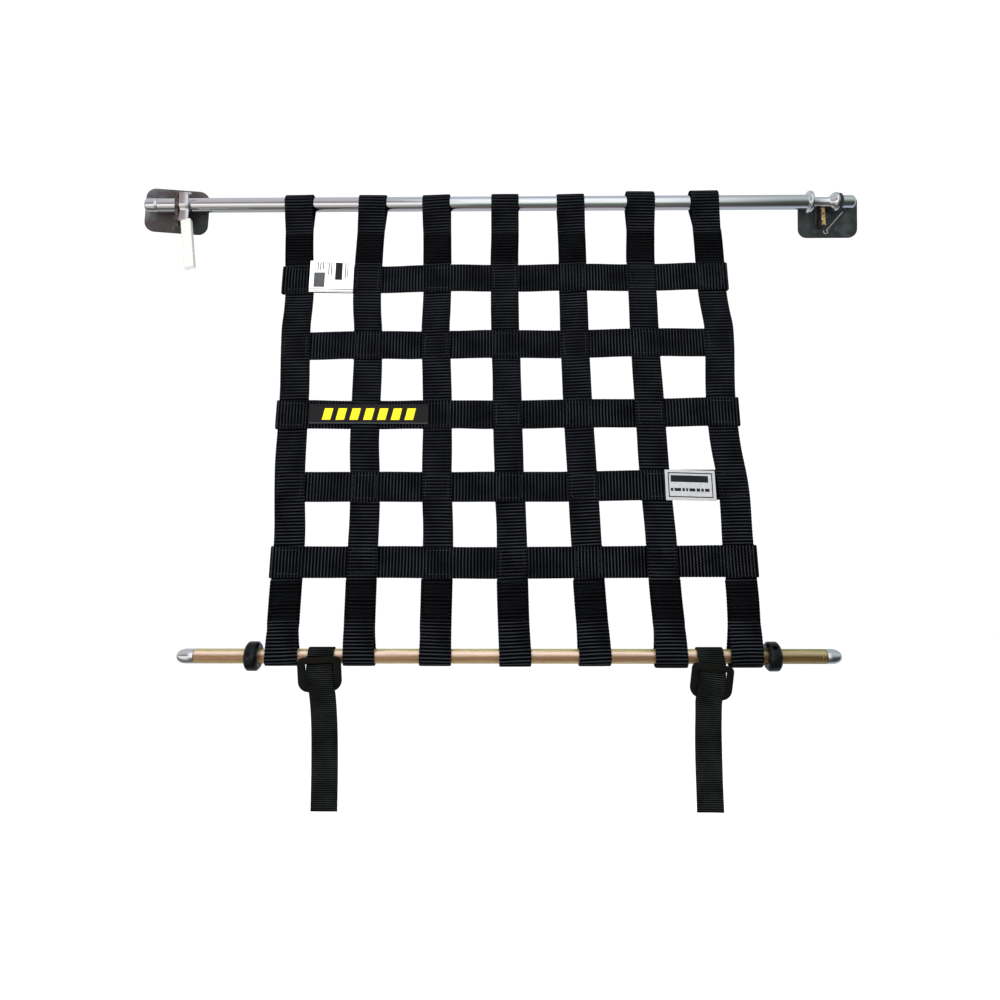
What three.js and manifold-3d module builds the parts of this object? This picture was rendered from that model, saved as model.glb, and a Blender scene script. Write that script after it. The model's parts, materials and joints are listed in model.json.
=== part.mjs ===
// Window net woven from flat straps, looped over an upper and a lower rod, with its brackets,
// latch lever, shaft collars and two tie-down straps. Millimetres, +Z up, the front looks along -Y.
import * as THREE from "three";
import Module from "manifold-3d";

const wasm = await Module();
wasm.setup();

// Driving sizes
const GAP = 0.35; // clearance between pieces that touch
const LOOP_GAP = 0.42; // clearance between a strap and the rod it is looped over
const STRAP_THICK = 1.5;
const STRAP_BEVEL = 0.5; // rounded selvedge, drawn as a bevel
const WEAVE_DEPTH = 0.95; // a strap's middle lies this far in front of or behind the net's plane
const FLAT_HALF = 15; // half length over which a strap lies flat at a crossing
const UPPER_ROD = { z: 204.8, radius: 6.9 };
const LOWER_ROD = { z: -204.8, radius: 5.8 };
const TOP_SEAM = { high: 176.5, low: 143.7 }; // sewn overlap under the upper rod
const BOTTOM_SEAM = { high: -143.7, low: -178.7 };
const TAIL_STEP = 1.9; // the folded tail lies this far behind its strap
const LOOP_STEPS = 13;
const LABEL_THICK = 0.5;
const TIE = { width: 21.2, thick: 1.1, end: -320.5 };

// Middle of each vertical strap, in mm from the net's centre, at the heights in LEVELS. `tails` moves
// the folded tail sideways and `slack` lengthens the loop, at the upper rod and at the lower one.
const LEVELS = [205, 176, 147, 128.6, 95, 81, 64.2, 32, -1, -32, -65.6, -98, -129.5, -160, -190, -205];
const VERTICALS = [
  { width: 26.4, tails: [-0.6, -1.3], slack: [0.6, 0],
    x: [-198.5, -197.9, -196.2, -194.6, -193.8, -194.2, -193.6, -192.3,
    -191.8, -191.4, -190.0, -187.8, -187.4, -187.6, -187.2, -186.0] },
  { width: 25.8, tails: [-0.3, -0.6], slack: [0, 0],
    x: [-128.6, -129.7, -130.5, -130.8, -130.0, -128.8, -128.0, -127.2,
    -127.0, -126.8, -125.0, -124.1, -124.2, -124.1, -123.7, -122.8] },
  { width: 25.7, tails: [0.6, -0.9], slack: [0, 0],
    x: [-68.6, -67.7, -67.0, -66.3, -66.3, -66.6, -66.0, -64.6,
    -63.5, -63.0, -62.5, -60.9, -60.6, -60.8, -60.8, -60.5] },
  { width: 25.6, tails: [0.3, -0.5], slack: [0.4, 0.5],
    x: [-3.3, -3.4, -3.9, -3.7, -3.5, -3.3, -2.8, -1.9,
    -1.4, -0.6, 0.4, 1.8, 2.4, 3.0, 4.0, 4.6] },
  { width: 25.8, tails: [0.3, -0.5], slack: [0.1, 0],
    x: [58.6, 59.4, 59.7, 59.5, 59.7, 59.6, 59.7, 60.5,
    61.4, 62.4, 63.5, 64.7, 66.1, 67.5, 69.1, 69.4] },
  { width: 26.1, tails: [0, 0.8], slack: [2.9, 1.4],
    x: [125.0, 124.3, 122.9, 123.0, 123.4, 123.5, 123.6, 124.0,
    124.5, 125.3, 126.6, 128.0, 128.8, 129.8, 131.2, 131.0] },
  { width: 26.2, tails: [1.3, -0.3], slack: [3.5, 1.1],
    x: [184.9, 186.9, 187.3, 187.3, 189.2, 190.6, 190.4, 188.7,
    188.2, 189.4, 192.8, 193.3, 193.5, 194.4, 193.2, 191.9] },
];

// Middle height of each horizontal strap at the places across the net in STATIONS.
const STATIONS = [-195, -160, -97, -34, 28, 90, 156, 192];
const HORIZONTALS = [
  { width: 26.8, z: [127.4, 127.7, 127.7, 128.8, 128.5, 128.7, 129.2, 129.4] },
  { width: 26.6, z: [62.8, 63.1, 63.3, 63.9, 63.7, 64.6, 65.1, 65.4] },
  { width: 25.8, z: [-1.2, -1.4, -1.7, -1.6, -1.4, -0.8, 0.1, 0.5] },
  { width: 26.0, z: [-65.3, -65.7, -65.7, -65.8, -65.9, -65.0, -64.3, -64.0] },
  { width: 26.2, z: [-129.4, -129.5, -129.3, -130.1, -129.9, -129.5, -128.8, -128.7] },
];

const ROW_Z = [128.6, 64.2, -1, -65.6, -129.5];

const MATERIALS = {
  webbing: new THREE.MeshStandardMaterial({ name: "webbing", color: 0x1a1b1e, roughness: 0.85 }),
  labelWhite: new THREE.MeshStandardMaterial({ name: "label_white", color: 0xf2f2ee, roughness: 0.7 }),
  labelBlack: new THREE.MeshStandardMaterial({ name: "label_black", color: 0x111113, roughness: 0.7 }),
  labelGrey: new THREE.MeshStandardMaterial({ name: "label_grey", color: 0xb9bcc0, roughness: 0.6 }),
  zinc: new THREE.MeshStandardMaterial({ name: "bright_zinc", color: 0xc9cbd0, metalness: 1, roughness: 0.2 }),
  yellowZinc: new THREE.MeshStandardMaterial({ name: "yellow_zinc", color: 0xc9a86a, metalness: 1, roughness: 0.3 }),
  steel: new THREE.MeshStandardMaterial({ name: "dark_steel", color: 0x4a4644, metalness: 1, roughness: 0.45 }),
  blackOxide: new THREE.MeshStandardMaterial({ name: "black_oxide", color: 0x1c1c1e, metalness: 1, roughness: 0.3 }),
  blackPlastic: new THREE.MeshStandardMaterial({ name: "black_plastic", color: 0x18181a, roughness: 0.45 }),
  rubber: new THREE.MeshStandardMaterial({ name: "rubber", color: 0x242424, roughness: 0.8 }),
};

// Bracket plates, square to a line that leans back from the upper rod's axis. Offsets and heights
// are measured from that axis, in the plate's own directions.
const PLATE_LEAN = THREE.MathUtils.degToRad(14);
const PLATE_THICK = 3;
const LEFT_PLATE = { front: 9, middle: -321.85, centre: -3.34, width: 61.6, height: 42, turn: 4.6,
  corners: [9.5, 9.5] };
const RIGHT_PLATE = { front: 11.5, middle: 308.3, centre: -11.9, width: 56.7, height: 38.6, turn: 0,
  corners: [4, 8.5] };

// Centre of the back face of a bracket's plate.
function plateBack({ front, middle, centre }) {
  const place = new THREE.Vector3(middle, front + PLATE_THICK, centre);
  place.applyAxisAngle(new THREE.Vector3(1, 0, 0), PLATE_LEAN);
  return place.add(new THREE.Vector3(0, 0, UPPER_ROD.z));
}

// The pieces are placed from the net's centre. The group is moved so that the part's own origin
// lies on the back face of the left bracket's plate, where it is welded on.
const ORIGIN = plateBack(LEFT_PLATE);
const net = new THREE.Group();
net.name = "window_net";
net.position.copy(ORIGIN).negate();

// Six times the signed volume of an indexed mesh: negative when its faces point inwards.
function signedVolume(position, index) {
  const a = new THREE.Vector3();
  const b = new THREE.Vector3();
  const c = new THREE.Vector3();
  let sum = 0;
  for (let i = 0; i < index.length; i += 3) {
    a.fromArray(position, index[i] * 3);
    b.fromArray(position, index[i + 1] * 3);
    c.fromArray(position, index[i + 2] * 3);
    sum += a.dot(b.cross(c));
  }
  return sum;
}

// Adds one named piece, with its faces turned outwards.
function add(name, geometry, material) {
  const position = geometry.attributes.position.array;
  const index = geometry.index
    ? Array.from(geometry.index.array)
    : Array.from({ length: position.length / 3 }, (_, i) => i);
  if (signedVolume(position, index) < 0) {
    for (let i = 0; i < index.length; i += 3) {
      [index[i + 1], index[i + 2]] = [index[i + 2], index[i + 1]];
    }
  }
  const shape = new THREE.BufferGeometry();
  shape.setAttribute("position", new THREE.BufferAttribute(new Float32Array(position), 3));
  shape.setIndex(index);
  const mesh = new THREE.Mesh(shape, material);
  mesh.name = name;
  net.add(mesh);
}

// Value at `at` on the line through the points (keys, values), keys rising or falling.
function between(keys, values, at) {
  const rising = keys[1] > keys[0];
  const last = keys.length - 1;
  if (rising ? at <= keys[0] : at >= keys[0]) return values[0];
  if (rising ? at >= keys[last] : at <= keys[last]) return values[last];
  for (let i = 0; i < last; i++) {
    const share = (at - keys[i]) / (keys[i + 1] - keys[i]);
    if (share >= 0 && share <= 1) return values[i] + (values[i + 1] - values[i]) * share;
  }
  return values[last];
}

// A flat strap along a path. Each path point has `along` and `depth`, and `middle` across it.
// The strap's width lies on the third axis: across X for a vertical strap, across Z for a level one.
// A point's `slope` turns the strap a little in its own plane there.
function strap(path, width, thick, vertical) {
  const bevel = Math.min(STRAP_BEVEL, thick * 0.4);
  const half = width / 2;
  const section = [
    [-half, 0], [-half + bevel, thick / 2], [half - bevel, thick / 2],
    [half, 0], [half - bevel, -thick / 2], [-half + bevel, -thick / 2],
  ];
  const position = [];
  path.forEach((point, i) => {
    const before = path[Math.max(i - 1, 0)];
    const after = path[Math.min(i + 1, path.length - 1)];
    const back = new THREE.Vector2(point.along - before.along, point.depth - before.depth);
    const on = new THREE.Vector2(after.along - point.along, after.depth - point.depth);
    if (i === 0) back.copy(on);
    if (i === path.length - 1) on.copy(back);
    back.normalize();
    on.normalize();
    const tangent = back.clone().add(on).normalize();
    const mitre = 1 / Math.max(0.7, tangent.dot(on));
    for (const [across, off] of section) {
      const along = point.along - tangent.y * off * mitre + (point.slope || 0) * across;
      const depth = point.depth + tangent.x * off * mitre;
      const side = point.middle + across;
      position.push(...(vertical ? [side, depth, along] : [along, depth, side]));
    }
  });
  const n = section.length;
  const index = [];
  for (let i = 0; i < path.length - 1; i++) {
    for (let j = 0; j < n; j++) {
      const a = i * n + j;
      const b = i * n + ((j + 1) % n);
      index.push(a, b, a + n, b, b + n, a + n);
    }
  }
  const end = (path.length - 1) * n;
  for (let j = 1; j < n - 1; j++) {
    index.push(0, j + 1, j);
    index.push(end, end + j, end + j + 1);
  }
  const geometry = new THREE.BufferGeometry();
  geometry.setAttribute("position", new THREE.Float32BufferAttribute(position, 3));
  geometry.setIndex(index);
  return geometry;
}

// Points of a loop over a rod, between two straight runs that leave towards `away` (a height).
// It goes from the run at depth `fromDepth` round the far side of the rod to the run at `toDepth`.
// A loop with slack stands off the rod on its far side and at the back, and hugs it in front.
function loopOver(rodZ, hugging, slack, away, fromDepth, toDepth, steps) {
  const up = away < rodZ;
  const radius = hugging + slack / 2;
  const centre = { along: rodZ + (up ? 1 : -1) * (slack / 2), depth: slack * 0.37 };
  const tangentAngle = (depth, side) => {
    const run = new THREE.Vector2(depth - centre.depth, away - centre.along);
    const spread = Math.acos(radius / run.length());
    return run.angle() + side * spread;
  };
  const start = tangentAngle(fromDepth, up === fromDepth > toDepth ? 1 : -1);
  let stop = tangentAngle(toDepth, up === fromDepth > toDepth ? -1 : 1);
  const turn = up === fromDepth > toDepth ? 1 : -1;
  while ((stop - start) * turn <= 0) stop += turn * 2 * Math.PI;
  while ((stop - start) * turn > 2 * Math.PI) stop -= turn * 2 * Math.PI;
  const points = [];
  for (let i = 0; i <= steps; i++) {
    const angle = start + ((stop - start) * i) / steps;
    points.push({
      along: centre.along + radius * Math.sin(angle),
      depth: centre.depth + radius * Math.cos(angle),
    });
  }
  return points;
}

// Adds an eased change of depth between two flats.
function easeTo(points, fromAlong, toAlong, fromDepth, toDepth, steps = 5) {
  for (let i = 0; i <= steps; i++) {
    const share = i / steps;
    const eased = (1 - Math.cos(Math.PI * share)) / 2;
    points.push({
      along: fromAlong + (toAlong - fromAlong) * share,
      depth: fromDepth + (toDepth - fromDepth) * eased,
    });
  }
}

// In the plain weave the vertical strap lies in front where column + row is odd.
const verticalDepth = (column, row) => ((column + row) % 2 === 1 ? -WEAVE_DEPTH : WEAVE_DEPTH);

function verticalStrap(column) {
  const { width, tails, slack, x } = VERTICALS[column - 1];
  const points = [];
  const top = verticalDepth(column, 1);
  const bottom = verticalDepth(column, 5);
  const clear = LOOP_GAP + STRAP_THICK / 2;
  points.push({ along: TOP_SEAM.low, depth: top + TAIL_STEP, shift: tails[0] });
  points.push({ along: TOP_SEAM.high, depth: top + TAIL_STEP, shift: tails[0] });
  const upper = loopOver(
    UPPER_ROD.z, UPPER_ROD.radius + clear, slack[0], TOP_SEAM.high, top + TAIL_STEP, top, LOOP_STEPS);
  upper.forEach((point, i) => points.push({ ...point, shift: tails[0] * (1 - i / LOOP_STEPS) }));
  points.push({ along: TOP_SEAM.high, depth: top });
  points.push({ along: (TOP_SEAM.high + ROW_Z[0]) / 2, depth: top });
  for (let row = 1; row < 5; row++) {
    points.push({ along: ROW_Z[row - 1], depth: verticalDepth(column, row) });
    easeTo(points, ROW_Z[row - 1] - FLAT_HALF, ROW_Z[row] + FLAT_HALF,
      verticalDepth(column, row), verticalDepth(column, row + 1));
  }
  points.push({ along: ROW_Z[4], depth: bottom });
  points.push({ along: (ROW_Z[4] + BOTTOM_SEAM.low) / 2, depth: bottom });
  points.push({ along: BOTTOM_SEAM.low, depth: bottom });
  const lower = loopOver(
    LOWER_ROD.z, LOWER_ROD.radius + clear, slack[1], BOTTOM_SEAM.low, bottom, bottom + TAIL_STEP, LOOP_STEPS);
  lower.forEach((point, i) => points.push({ ...point, shift: (tails[1] * i) / LOOP_STEPS }));
  points.push({ along: BOTTOM_SEAM.low, depth: bottom + TAIL_STEP, shift: tails[1] });
  points.push({ along: BOTTOM_SEAM.high, depth: bottom + TAIL_STEP, shift: tails[1] });
  for (const point of points) point.middle = between(LEVELS, x, point.along) + (point.shift || 0);
  add("strap_v" + column, strap(points, width, STRAP_THICK, true), MATERIALS.webbing);
}

// Outermost place of a vertical strap's edge over the height of a row: side -1 left, +1 right.
function outerEdge(column, row, side) {
  const { width, x } = VERTICALS[column - 1];
  let edge = side * -1e9;
  for (let dz = -14; dz <= 14; dz += 2) {
    const here = between(LEVELS, x, ROW_Z[row - 1] + dz) + (side * width) / 2;
    edge = side < 0 ? Math.min(edge === 1e9 ? here : edge, here) : Math.max(edge === -1e9 ? here : edge, here);
  }
  return edge;
}

// Fold of a level strap round the edge of an outer vertical strap, from the tail to the front.
const FOLD_RADIUS = 0.95;
function foldPoints(edge, side) {
  const centre = edge + side * 0.2;
  const points = [];
  for (let i = 0; i <= 3; i++) {
    const angle = (Math.PI / 2) * (1 - i / 3);
    points.push({
      along: centre + side * FOLD_RADIUS * Math.cos(angle),
      depth: WEAVE_DEPTH + TAIL_STEP - FOLD_RADIUS + FOLD_RADIUS * Math.sin(angle),
    });
  }
  for (let i = 0; i <= 3; i++) {
    const angle = (-Math.PI / 2) * (i / 3);
    points.push({
      along: centre + side * FOLD_RADIUS * Math.cos(angle),
      depth: -WEAVE_DEPTH + FOLD_RADIUS + FOLD_RADIUS * Math.sin(angle),
    });
  }
  return points;
}

function levelStrap(row) {
  const { width, z } = HORIZONTALS[row - 1];
  const wrapped = row % 2 === 1;
  const middles = VERTICALS.map(({ x }) => between(LEVELS, x, ROW_Z[row - 1]));
  const points = [];
  if (wrapped) {
    points.push({ along: middles[0] + 11.5, depth: WEAVE_DEPTH + TAIL_STEP });
    points.push(...foldPoints(outerEdge(1, row, -1), -1));
  } else {
    points.push({ along: middles[0] - VERTICALS[0].width / 2 + 0.6, depth: WEAVE_DEPTH });
  }
  for (let column = 1; column < 7; column++) {
    points.push({ along: middles[column - 1], depth: -verticalDepth(column, row) });
    easeTo(points, middles[column - 1] + FLAT_HALF, middles[column] - FLAT_HALF,
      -verticalDepth(column, row), -verticalDepth(column + 1, row));
  }
  points.push({ along: middles[6], depth: -verticalDepth(7, row) });
  if (wrapped) {
    points.push(...foldPoints(outerEdge(7, row, 1), 1).reverse());
    points.push({ along: middles[6] - 11.5, depth: WEAVE_DEPTH + TAIL_STEP });
  } else {
    points.push({ along: middles[6] + VERTICALS[6].width / 2 - 0.6, depth: WEAVE_DEPTH });
  }
  for (const point of points) point.middle = between(STATIONS, z, point.along);
  add("strap_h" + row, strap(points, width, STRAP_THICK, false), MATERIALS.webbing);
  return points;
}

for (let column = 1; column <= 7; column++) verticalStrap(column);
const rows = [1, 2, 3, 4, 5].map(levelStrap);

// Depth of the middle of a level strap at a place across the net.
function rowDepth(row, x) {
  const run = rows[row - 1].filter((p, i, all) => i > 0 && i < all.length - 1);
  const flat = run.filter((p) => p.depth <= WEAVE_DEPTH + 0.001);
  for (let i = 0; i < flat.length - 1; i++) {
    if (x >= flat[i].along && x <= flat[i + 1].along) {
      const share = (x - flat[i].along) / (flat[i + 1].along - flat[i].along || 1);
      return flat[i].depth + (flat[i + 1].depth - flat[i].depth) * share;
    }
  }
  return 0;
}

// Sewn labels on the front. Their lower and upper edges are given with the row they sit on.
const LABELS = [
  { name: "label_white", row: 1, left: -184.6, right: -144.2, high: 145.6, low: 114.6, follows: true,
    lean: 0, material: MATERIALS.labelWhite },
  { name: "label_black", row: 3, left: -176.3, right: -71.6, high: 7.4, low: -10.3, follows: false,
    lean: -0.005, material: MATERIALS.labelBlack },
  { name: "label_grey", row: 4, left: 134.2, right: 177.6, high: -51.9, low: -78.2, follows: true,
    lean: -0.02, material: MATERIALS.labelGrey },
];
const LABEL_OFF = STRAP_THICK / 2 + GAP + LABEL_THICK / 2;
for (const { name, row, left, right, high, low, follows, lean, material } of LABELS) {
  const points = [];
  const steps = follows ? 9 : 4;
  for (let i = 0; i <= steps; i++) {
    const along = left + ((right - left) * i) / steps;
    const strapDepth = follows ? rowDepth(row, along) : -WEAVE_DEPTH;
    points.push({
      along,
      depth: strapDepth - LABEL_OFF - (follows ? 0.15 : 0),
      middle: (high + low) / 2 + lean * (along - (left + right) / 2),
    });
  }
  add(name, strap(points, high - low, LABEL_THICK, false), material);
}

// A turned piece round the line through (x, 0, z) along X. The profile is [x, radius] pairs.
function turned(profile, z, segments) {
  const points = profile.map(([x, radius]) => new THREE.Vector2(radius, x));
  const geometry = new THREE.LatheGeometry(points, segments);
  geometry.rotateZ(-Math.PI / 2);
  geometry.translate(0, 0, z);
  return geometry;
}

// Upper rod: plain bar, with a shoulder, a neck and a grooved tip turned on its right end.
add("rod_upper", turned([
  [-339, 0], [-339, 4.4], [-334.1, 4.4], [-334.1, 6.6], [-333.8, 6.9],
  [283.6, 6.9], [284.1, 9.9], [285.0, 10.7], [286.6, 10.7], [287.6, 9.9], [288.2, 4.6],
  [303.2, 4.6], [304.4, 5.1], [306.4, 7.2], [308.4, 8.9], [309.6, 9.3], [311.2, 9.3], [311.6, 8.9],
  [311.6, 5.6], [315.8, 5.6], [315.8, 6.4], [325.2, 6.4], [327.4, 5.2], [328.6, 3.2], [328.6, 0],
], UPPER_ROD.z, 32), MATERIALS.zinc);

// End cap on the left, a domed sleeve over the rod's spigot.
add("rod_upper_cap", turned([
  [-334.45, 4.75], [-334.45, 6.7], [-334.7, 6.9], [-344.2, 6.9], [-346.4, 5.6], [-347.3, 3.2],
  [-347.3, 0], [-339.4, 0], [-339.4, 4.75], [-334.45, 4.75],
], UPPER_ROD.z, 32), MATERIALS.zinc);

// Ring seated in the groove behind the tip.
add("retaining_ring", turned([
  [312, 5.95], [312, 8.1], [312.6, 8.6], [314.8, 8.6], [315.4, 8.1], [315.4, 5.95], [312, 5.95],
], UPPER_ROD.z, 28), MATERIALS.rubber);

// Lower rod and its two round tips, each tip a plug on a spigot.
add("rod_lower", turned([
  [-262.6, 0], [-262.6, 3.6], [-258.1, 3.6], [-258.1, 5.6], [-257.9, 5.8],
  [256.8, 5.8], [257.0, 5.6], [257.0, 3.6], [261.5, 3.6], [261.5, 0],
], LOWER_ROD.z, 28), MATERIALS.yellowZinc);
for (const [name, seam, end] of [["rod_tip_left", -258.45, -273.2], ["rod_tip_right", 257.35, 269.9]]) {
  const side = Math.sign(end);
  add(name, turned([
    [seam, 3.95], [seam, 5.65], [seam + side * 0.3, 5.8], [end - side * 8, 5.8],
    [end - side * 5.2, 5.35], [end - side * 2.8, 4.3], [end - side * 0.9, 2.5], [end, 0],
    [seam + side * 4.6, 0], [seam + side * 4.6, 3.95], [seam, 3.95],
  ], LOWER_ROD.z, 28), MATERIALS.zinc);
}

// Shaft collars, with chamfered rims and a set-screw hole. The hole looks up and to the back in the
// left collar, and up and to the front in the right one.
const COLLAR = { radius: 11.6, bore: LOWER_ROD.radius + GAP, chamfer: 1.8, width: 10.8, holeRise: 0.69 };
function manifoldOf(geometry) {
  const position = geometry.attributes.position.array;
  const keys = new Map();
  const points = [];
  const remap = [];
  for (let i = 0; i < position.length; i += 3) {
    const key = [0, 1, 2].map((k) => Math.round(position[i + k] * 1e4)).join(",");
    if (!keys.has(key)) {
      keys.set(key, points.length / 3);
      points.push(position[i], position[i + 1], position[i + 2]);
    }
    remap.push(keys.get(key));
  }
  const source = geometry.index ? Array.from(geometry.index.array) : remap.map((_, i) => i);
  const index = [];
  for (let i = 0; i < source.length; i += 3) {
    const [a, b, c] = [remap[source[i]], remap[source[i + 1]], remap[source[i + 2]]];
    if (a !== b && b !== c && a !== c) index.push(a, b, c);
  }
  if (signedVolume(points, index) < 0) {
    for (let i = 0; i < index.length; i += 3) [index[i + 1], index[i + 2]] = [index[i + 2], index[i + 1]];
  }
  return new wasm.Manifold(new wasm.Mesh({
    numProp: 3,
    vertProperties: new Float32Array(points),
    triVerts: new Uint32Array(index),
  }));
}
function geometryOf(solid) {
  const mesh = solid.getMesh();
  const position = new Float32Array(mesh.numVert * 3);
  for (let i = 0; i < mesh.numVert; i++) {
    for (let k = 0; k < 3; k++) position[i * 3 + k] = mesh.vertProperties[i * mesh.numProp + k];
  }
  const geometry = new THREE.BufferGeometry();
  geometry.setAttribute("position", new THREE.BufferAttribute(position, 3));
  geometry.setIndex(Array.from(mesh.triVerts));
  return geometry;
}
for (const [name, x, facing] of [["collar_left", -210.3, 1], ["collar_right", 214.0, -1]]) {
  const { radius, bore, chamfer, width } = COLLAR;
  const ring = manifoldOf(turned([
    [x - width / 2, bore], [x - width / 2, radius - chamfer], [x - width / 2 + chamfer, radius],
    [x + width / 2 - chamfer, radius], [x + width / 2, radius - chamfer], [x + width / 2, bore],
    [x - width / 2, bore],
  ], LOWER_ROD.z, 32));
  const hole = new THREE.CylinderGeometry(2.1, 2.1, 12, 12);
  hole.translate(0, 9, 0);
  hole.rotateX(facing > 0 ? COLLAR.holeRise : Math.PI - COLLAR.holeRise);
  hole.translate(x, 0, LOWER_ROD.z);
  add(name, geometryOf(ring.subtract(manifoldOf(hole))), MATERIALS.blackOxide);
}

// Rounded rectangle as a THREE.Shape or THREE.Path, centred on the height `cy`, with one radius
// for its upper corners and one for its lower ones.
function roundedRectangle(kind, width, height, high, low = high, cy = 0) {
  const shape = new kind();
  const [w, h] = [width / 2, height / 2];
  shape.moveTo(-w + low, cy - h);
  shape.lineTo(w - low, cy - h);
  shape.absarc(w - low, cy - h + low, low, -Math.PI / 2, 0);
  shape.lineTo(w, cy + h - high);
  shape.absarc(w - high, cy + h - high, high, 0, Math.PI / 2);
  shape.lineTo(-w + high, cy + h);
  shape.absarc(-w + high, cy + h - high, high, Math.PI / 2, Math.PI);
  shape.lineTo(-w, cy - h + low);
  shape.absarc(-w + low, cy - h + low, low, Math.PI, Math.PI * 1.5);
  return shape;
}

// A plate whose outline lies in the XZ plane, its front face at depth `front`.
function uprightPlate(shape, thick, front, curveSegments = 6) {
  const geometry = new THREE.ExtrudeGeometry(shape, { depth: thick, bevelEnabled: false, curveSegments });
  geometry.rotateX(Math.PI / 2);
  geometry.translate(0, front + thick, 0);
  return geometry;
}

// A plate whose outline is drawn as (depth, height) and whose thickness runs along X.
function edgePlate(shape, left, right, curveSegments = 10) {
  const geometry = new THREE.ExtrudeGeometry(shape, { depth: right - left, bevelEnabled: false, curveSegments });
  const m = new THREE.Matrix4().set(
    0, 0, 1, left,
    1, 0, 0, 0,
    0, 1, 0, 0,
    0, 0, 0, 1,
  );
  geometry.applyMatrix4(m);
  return geometry;
}

// Weld-on brackets: a flat plate with an edge-on tab that carries the upper rod. Tabs are drawn
// as (depth, height) from the rod's axis, and lean with their plate.
function addBracket(name, plate, tab, tabLeft, tabRight) {
  const { front, middle, centre, width, height, turn, corners } = plate;
  const face = uprightPlate(roundedRectangle(THREE.Shape, width, height, ...corners), PLATE_THICK, front);
  face.rotateY(THREE.MathUtils.degToRad(turn));
  face.translate(middle, 0, centre);
  const solids = [face, edgePlate(tab, tabLeft, tabRight, 18)].map((shape) => {
    shape.rotateX(PLATE_LEAN);
    shape.translate(0, 0, UPPER_ROD.z);
    return manifoldOf(shape);
  });
  add(name, geometryOf(solids[0].add(solids[1])), MATERIALS.steel);
}

// Left tab: closed round the rod.
const closedTab = new THREE.Shape([
  [10, -21.5], [10, 12.6], [-6, 12], [-8.6, 10.2], [-9.6, 7], [-9.6, -6], [-8.4, -21.5],
].map(([depth, height]) => new THREE.Vector2(depth, height)));
const rodHole = new THREE.Path();
rodHole.absarc(0, 0, UPPER_ROD.radius + GAP, 0, Math.PI * 2);
closedTab.holes.push(rodHole);
addBracket("bracket_left", LEFT_PLATE, closedTab, -315.7, -312.5);

// Right tab: a recess behind and under the rod's neck, open to the front.
const NECK = 4.6;
const openTab = new THREE.Shape();
openTab.moveTo(12.5, -22);
openTab.lineTo(12.5, 5.5);
openTab.lineTo(6.2, 5.5);
openTab.absarc(0, 0, NECK + GAP, THREE.MathUtils.degToRad(42), THREE.MathUtils.degToRad(-66), true);
openTab.lineTo(-0.5, -22);
openTab.closePath();
addBracket("bracket_right", RIGHT_PLATE, openTab, 297.6, 301.4);

// Latch lever: a strip that hugs the front of the rod, with a flat ear above and a handle below.
const LATCH = { left: -312.1, right: -303.1, strip: 1.8, inner: UPPER_ROD.radius + GAP };
const clip = new THREE.Shape();
const outer = LATCH.inner + LATCH.strip;
clip.moveTo(-8.4, 8.8);
clip.lineTo(-10.2, 8.5);
clip.absarc(0, 0, outer, Math.PI * 1.03, Math.PI * 1.24, false);
clip.lineTo(-5.7, -8.4);
clip.lineTo(-5.3, -18.4);
clip.lineTo(-3.5, -18.4);
clip.lineTo(-3.8, -8.9);
clip.absarc(0, 0, LATCH.inner, Math.PI * 1.28, Math.PI * 1.03, true);
clip.closePath();
const clipSolid = edgePlate(clip, LATCH.left, LATCH.right);
clipSolid.translate(0, 0, UPPER_ROD.z);
const HANDLE = { width: 9.6, thick: 5.4, length: 57, lean: 12, turn: 14.1, top: [-305.4, -2.6, 187.4] };
const handle = new THREE.BoxGeometry(HANDLE.width, HANDLE.thick, HANDLE.length, 1, 1, 1);
handle.translate(0, 0, -HANDLE.length / 2);
handle.rotateX(THREE.MathUtils.degToRad(-HANDLE.lean));
handle.rotateY(THREE.MathUtils.degToRad(-HANDLE.turn));
handle.translate(...HANDLE.top);
const curl = new THREE.CylinderGeometry(1.3, 1.3, 4.2, 14);
curl.rotateZ(Math.PI / 2);
curl.translate(LATCH.right + 0.3, -9.3, UPPER_ROD.z + 7.4);
add("latch_lever", geometryOf(
  manifoldOf(clipSolid).add(manifoldOf(handle)).add(manifoldOf(curl)),
), MATERIALS.zinc);

// Safety wire of the right end: a short leg down to a small eye in front of the plate.
const wireEye = new THREE.Vector3(298.9, 2.2, 175);
const wirePoints = [new THREE.Vector3(314.9, -3, 193.1), new THREE.Vector3(308.2, -0.7, 185.6),
  new THREE.Vector3(301.5, 1.6, 178.2)];
for (let i = 0; i <= 8; i++) {
  const angle = Math.PI * (0.3 - (1.6 * i) / 8);
  wirePoints.push(new THREE.Vector3(
    wireEye.x + 1.9 * Math.cos(angle), wireEye.y, wireEye.z + 1.9 * Math.sin(angle)));
}
const wirePath = new THREE.CatmullRomCurve3(wirePoints, false, "centripetal");
const wireSection = new THREE.Shape();
for (let i = 0; i < 8; i++) {
  const angle = (i * Math.PI) / 4;
  const at = [0.55 * Math.cos(angle), 0.55 * Math.sin(angle)];
  if (i === 0) wireSection.moveTo(...at);
  else wireSection.lineTo(...at);
}
add("safety_wire", new THREE.ExtrudeGeometry(wireSection, {
  steps: 26, bevelEnabled: false, extrudePath: wirePath,
}), MATERIALS.zinc);

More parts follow.
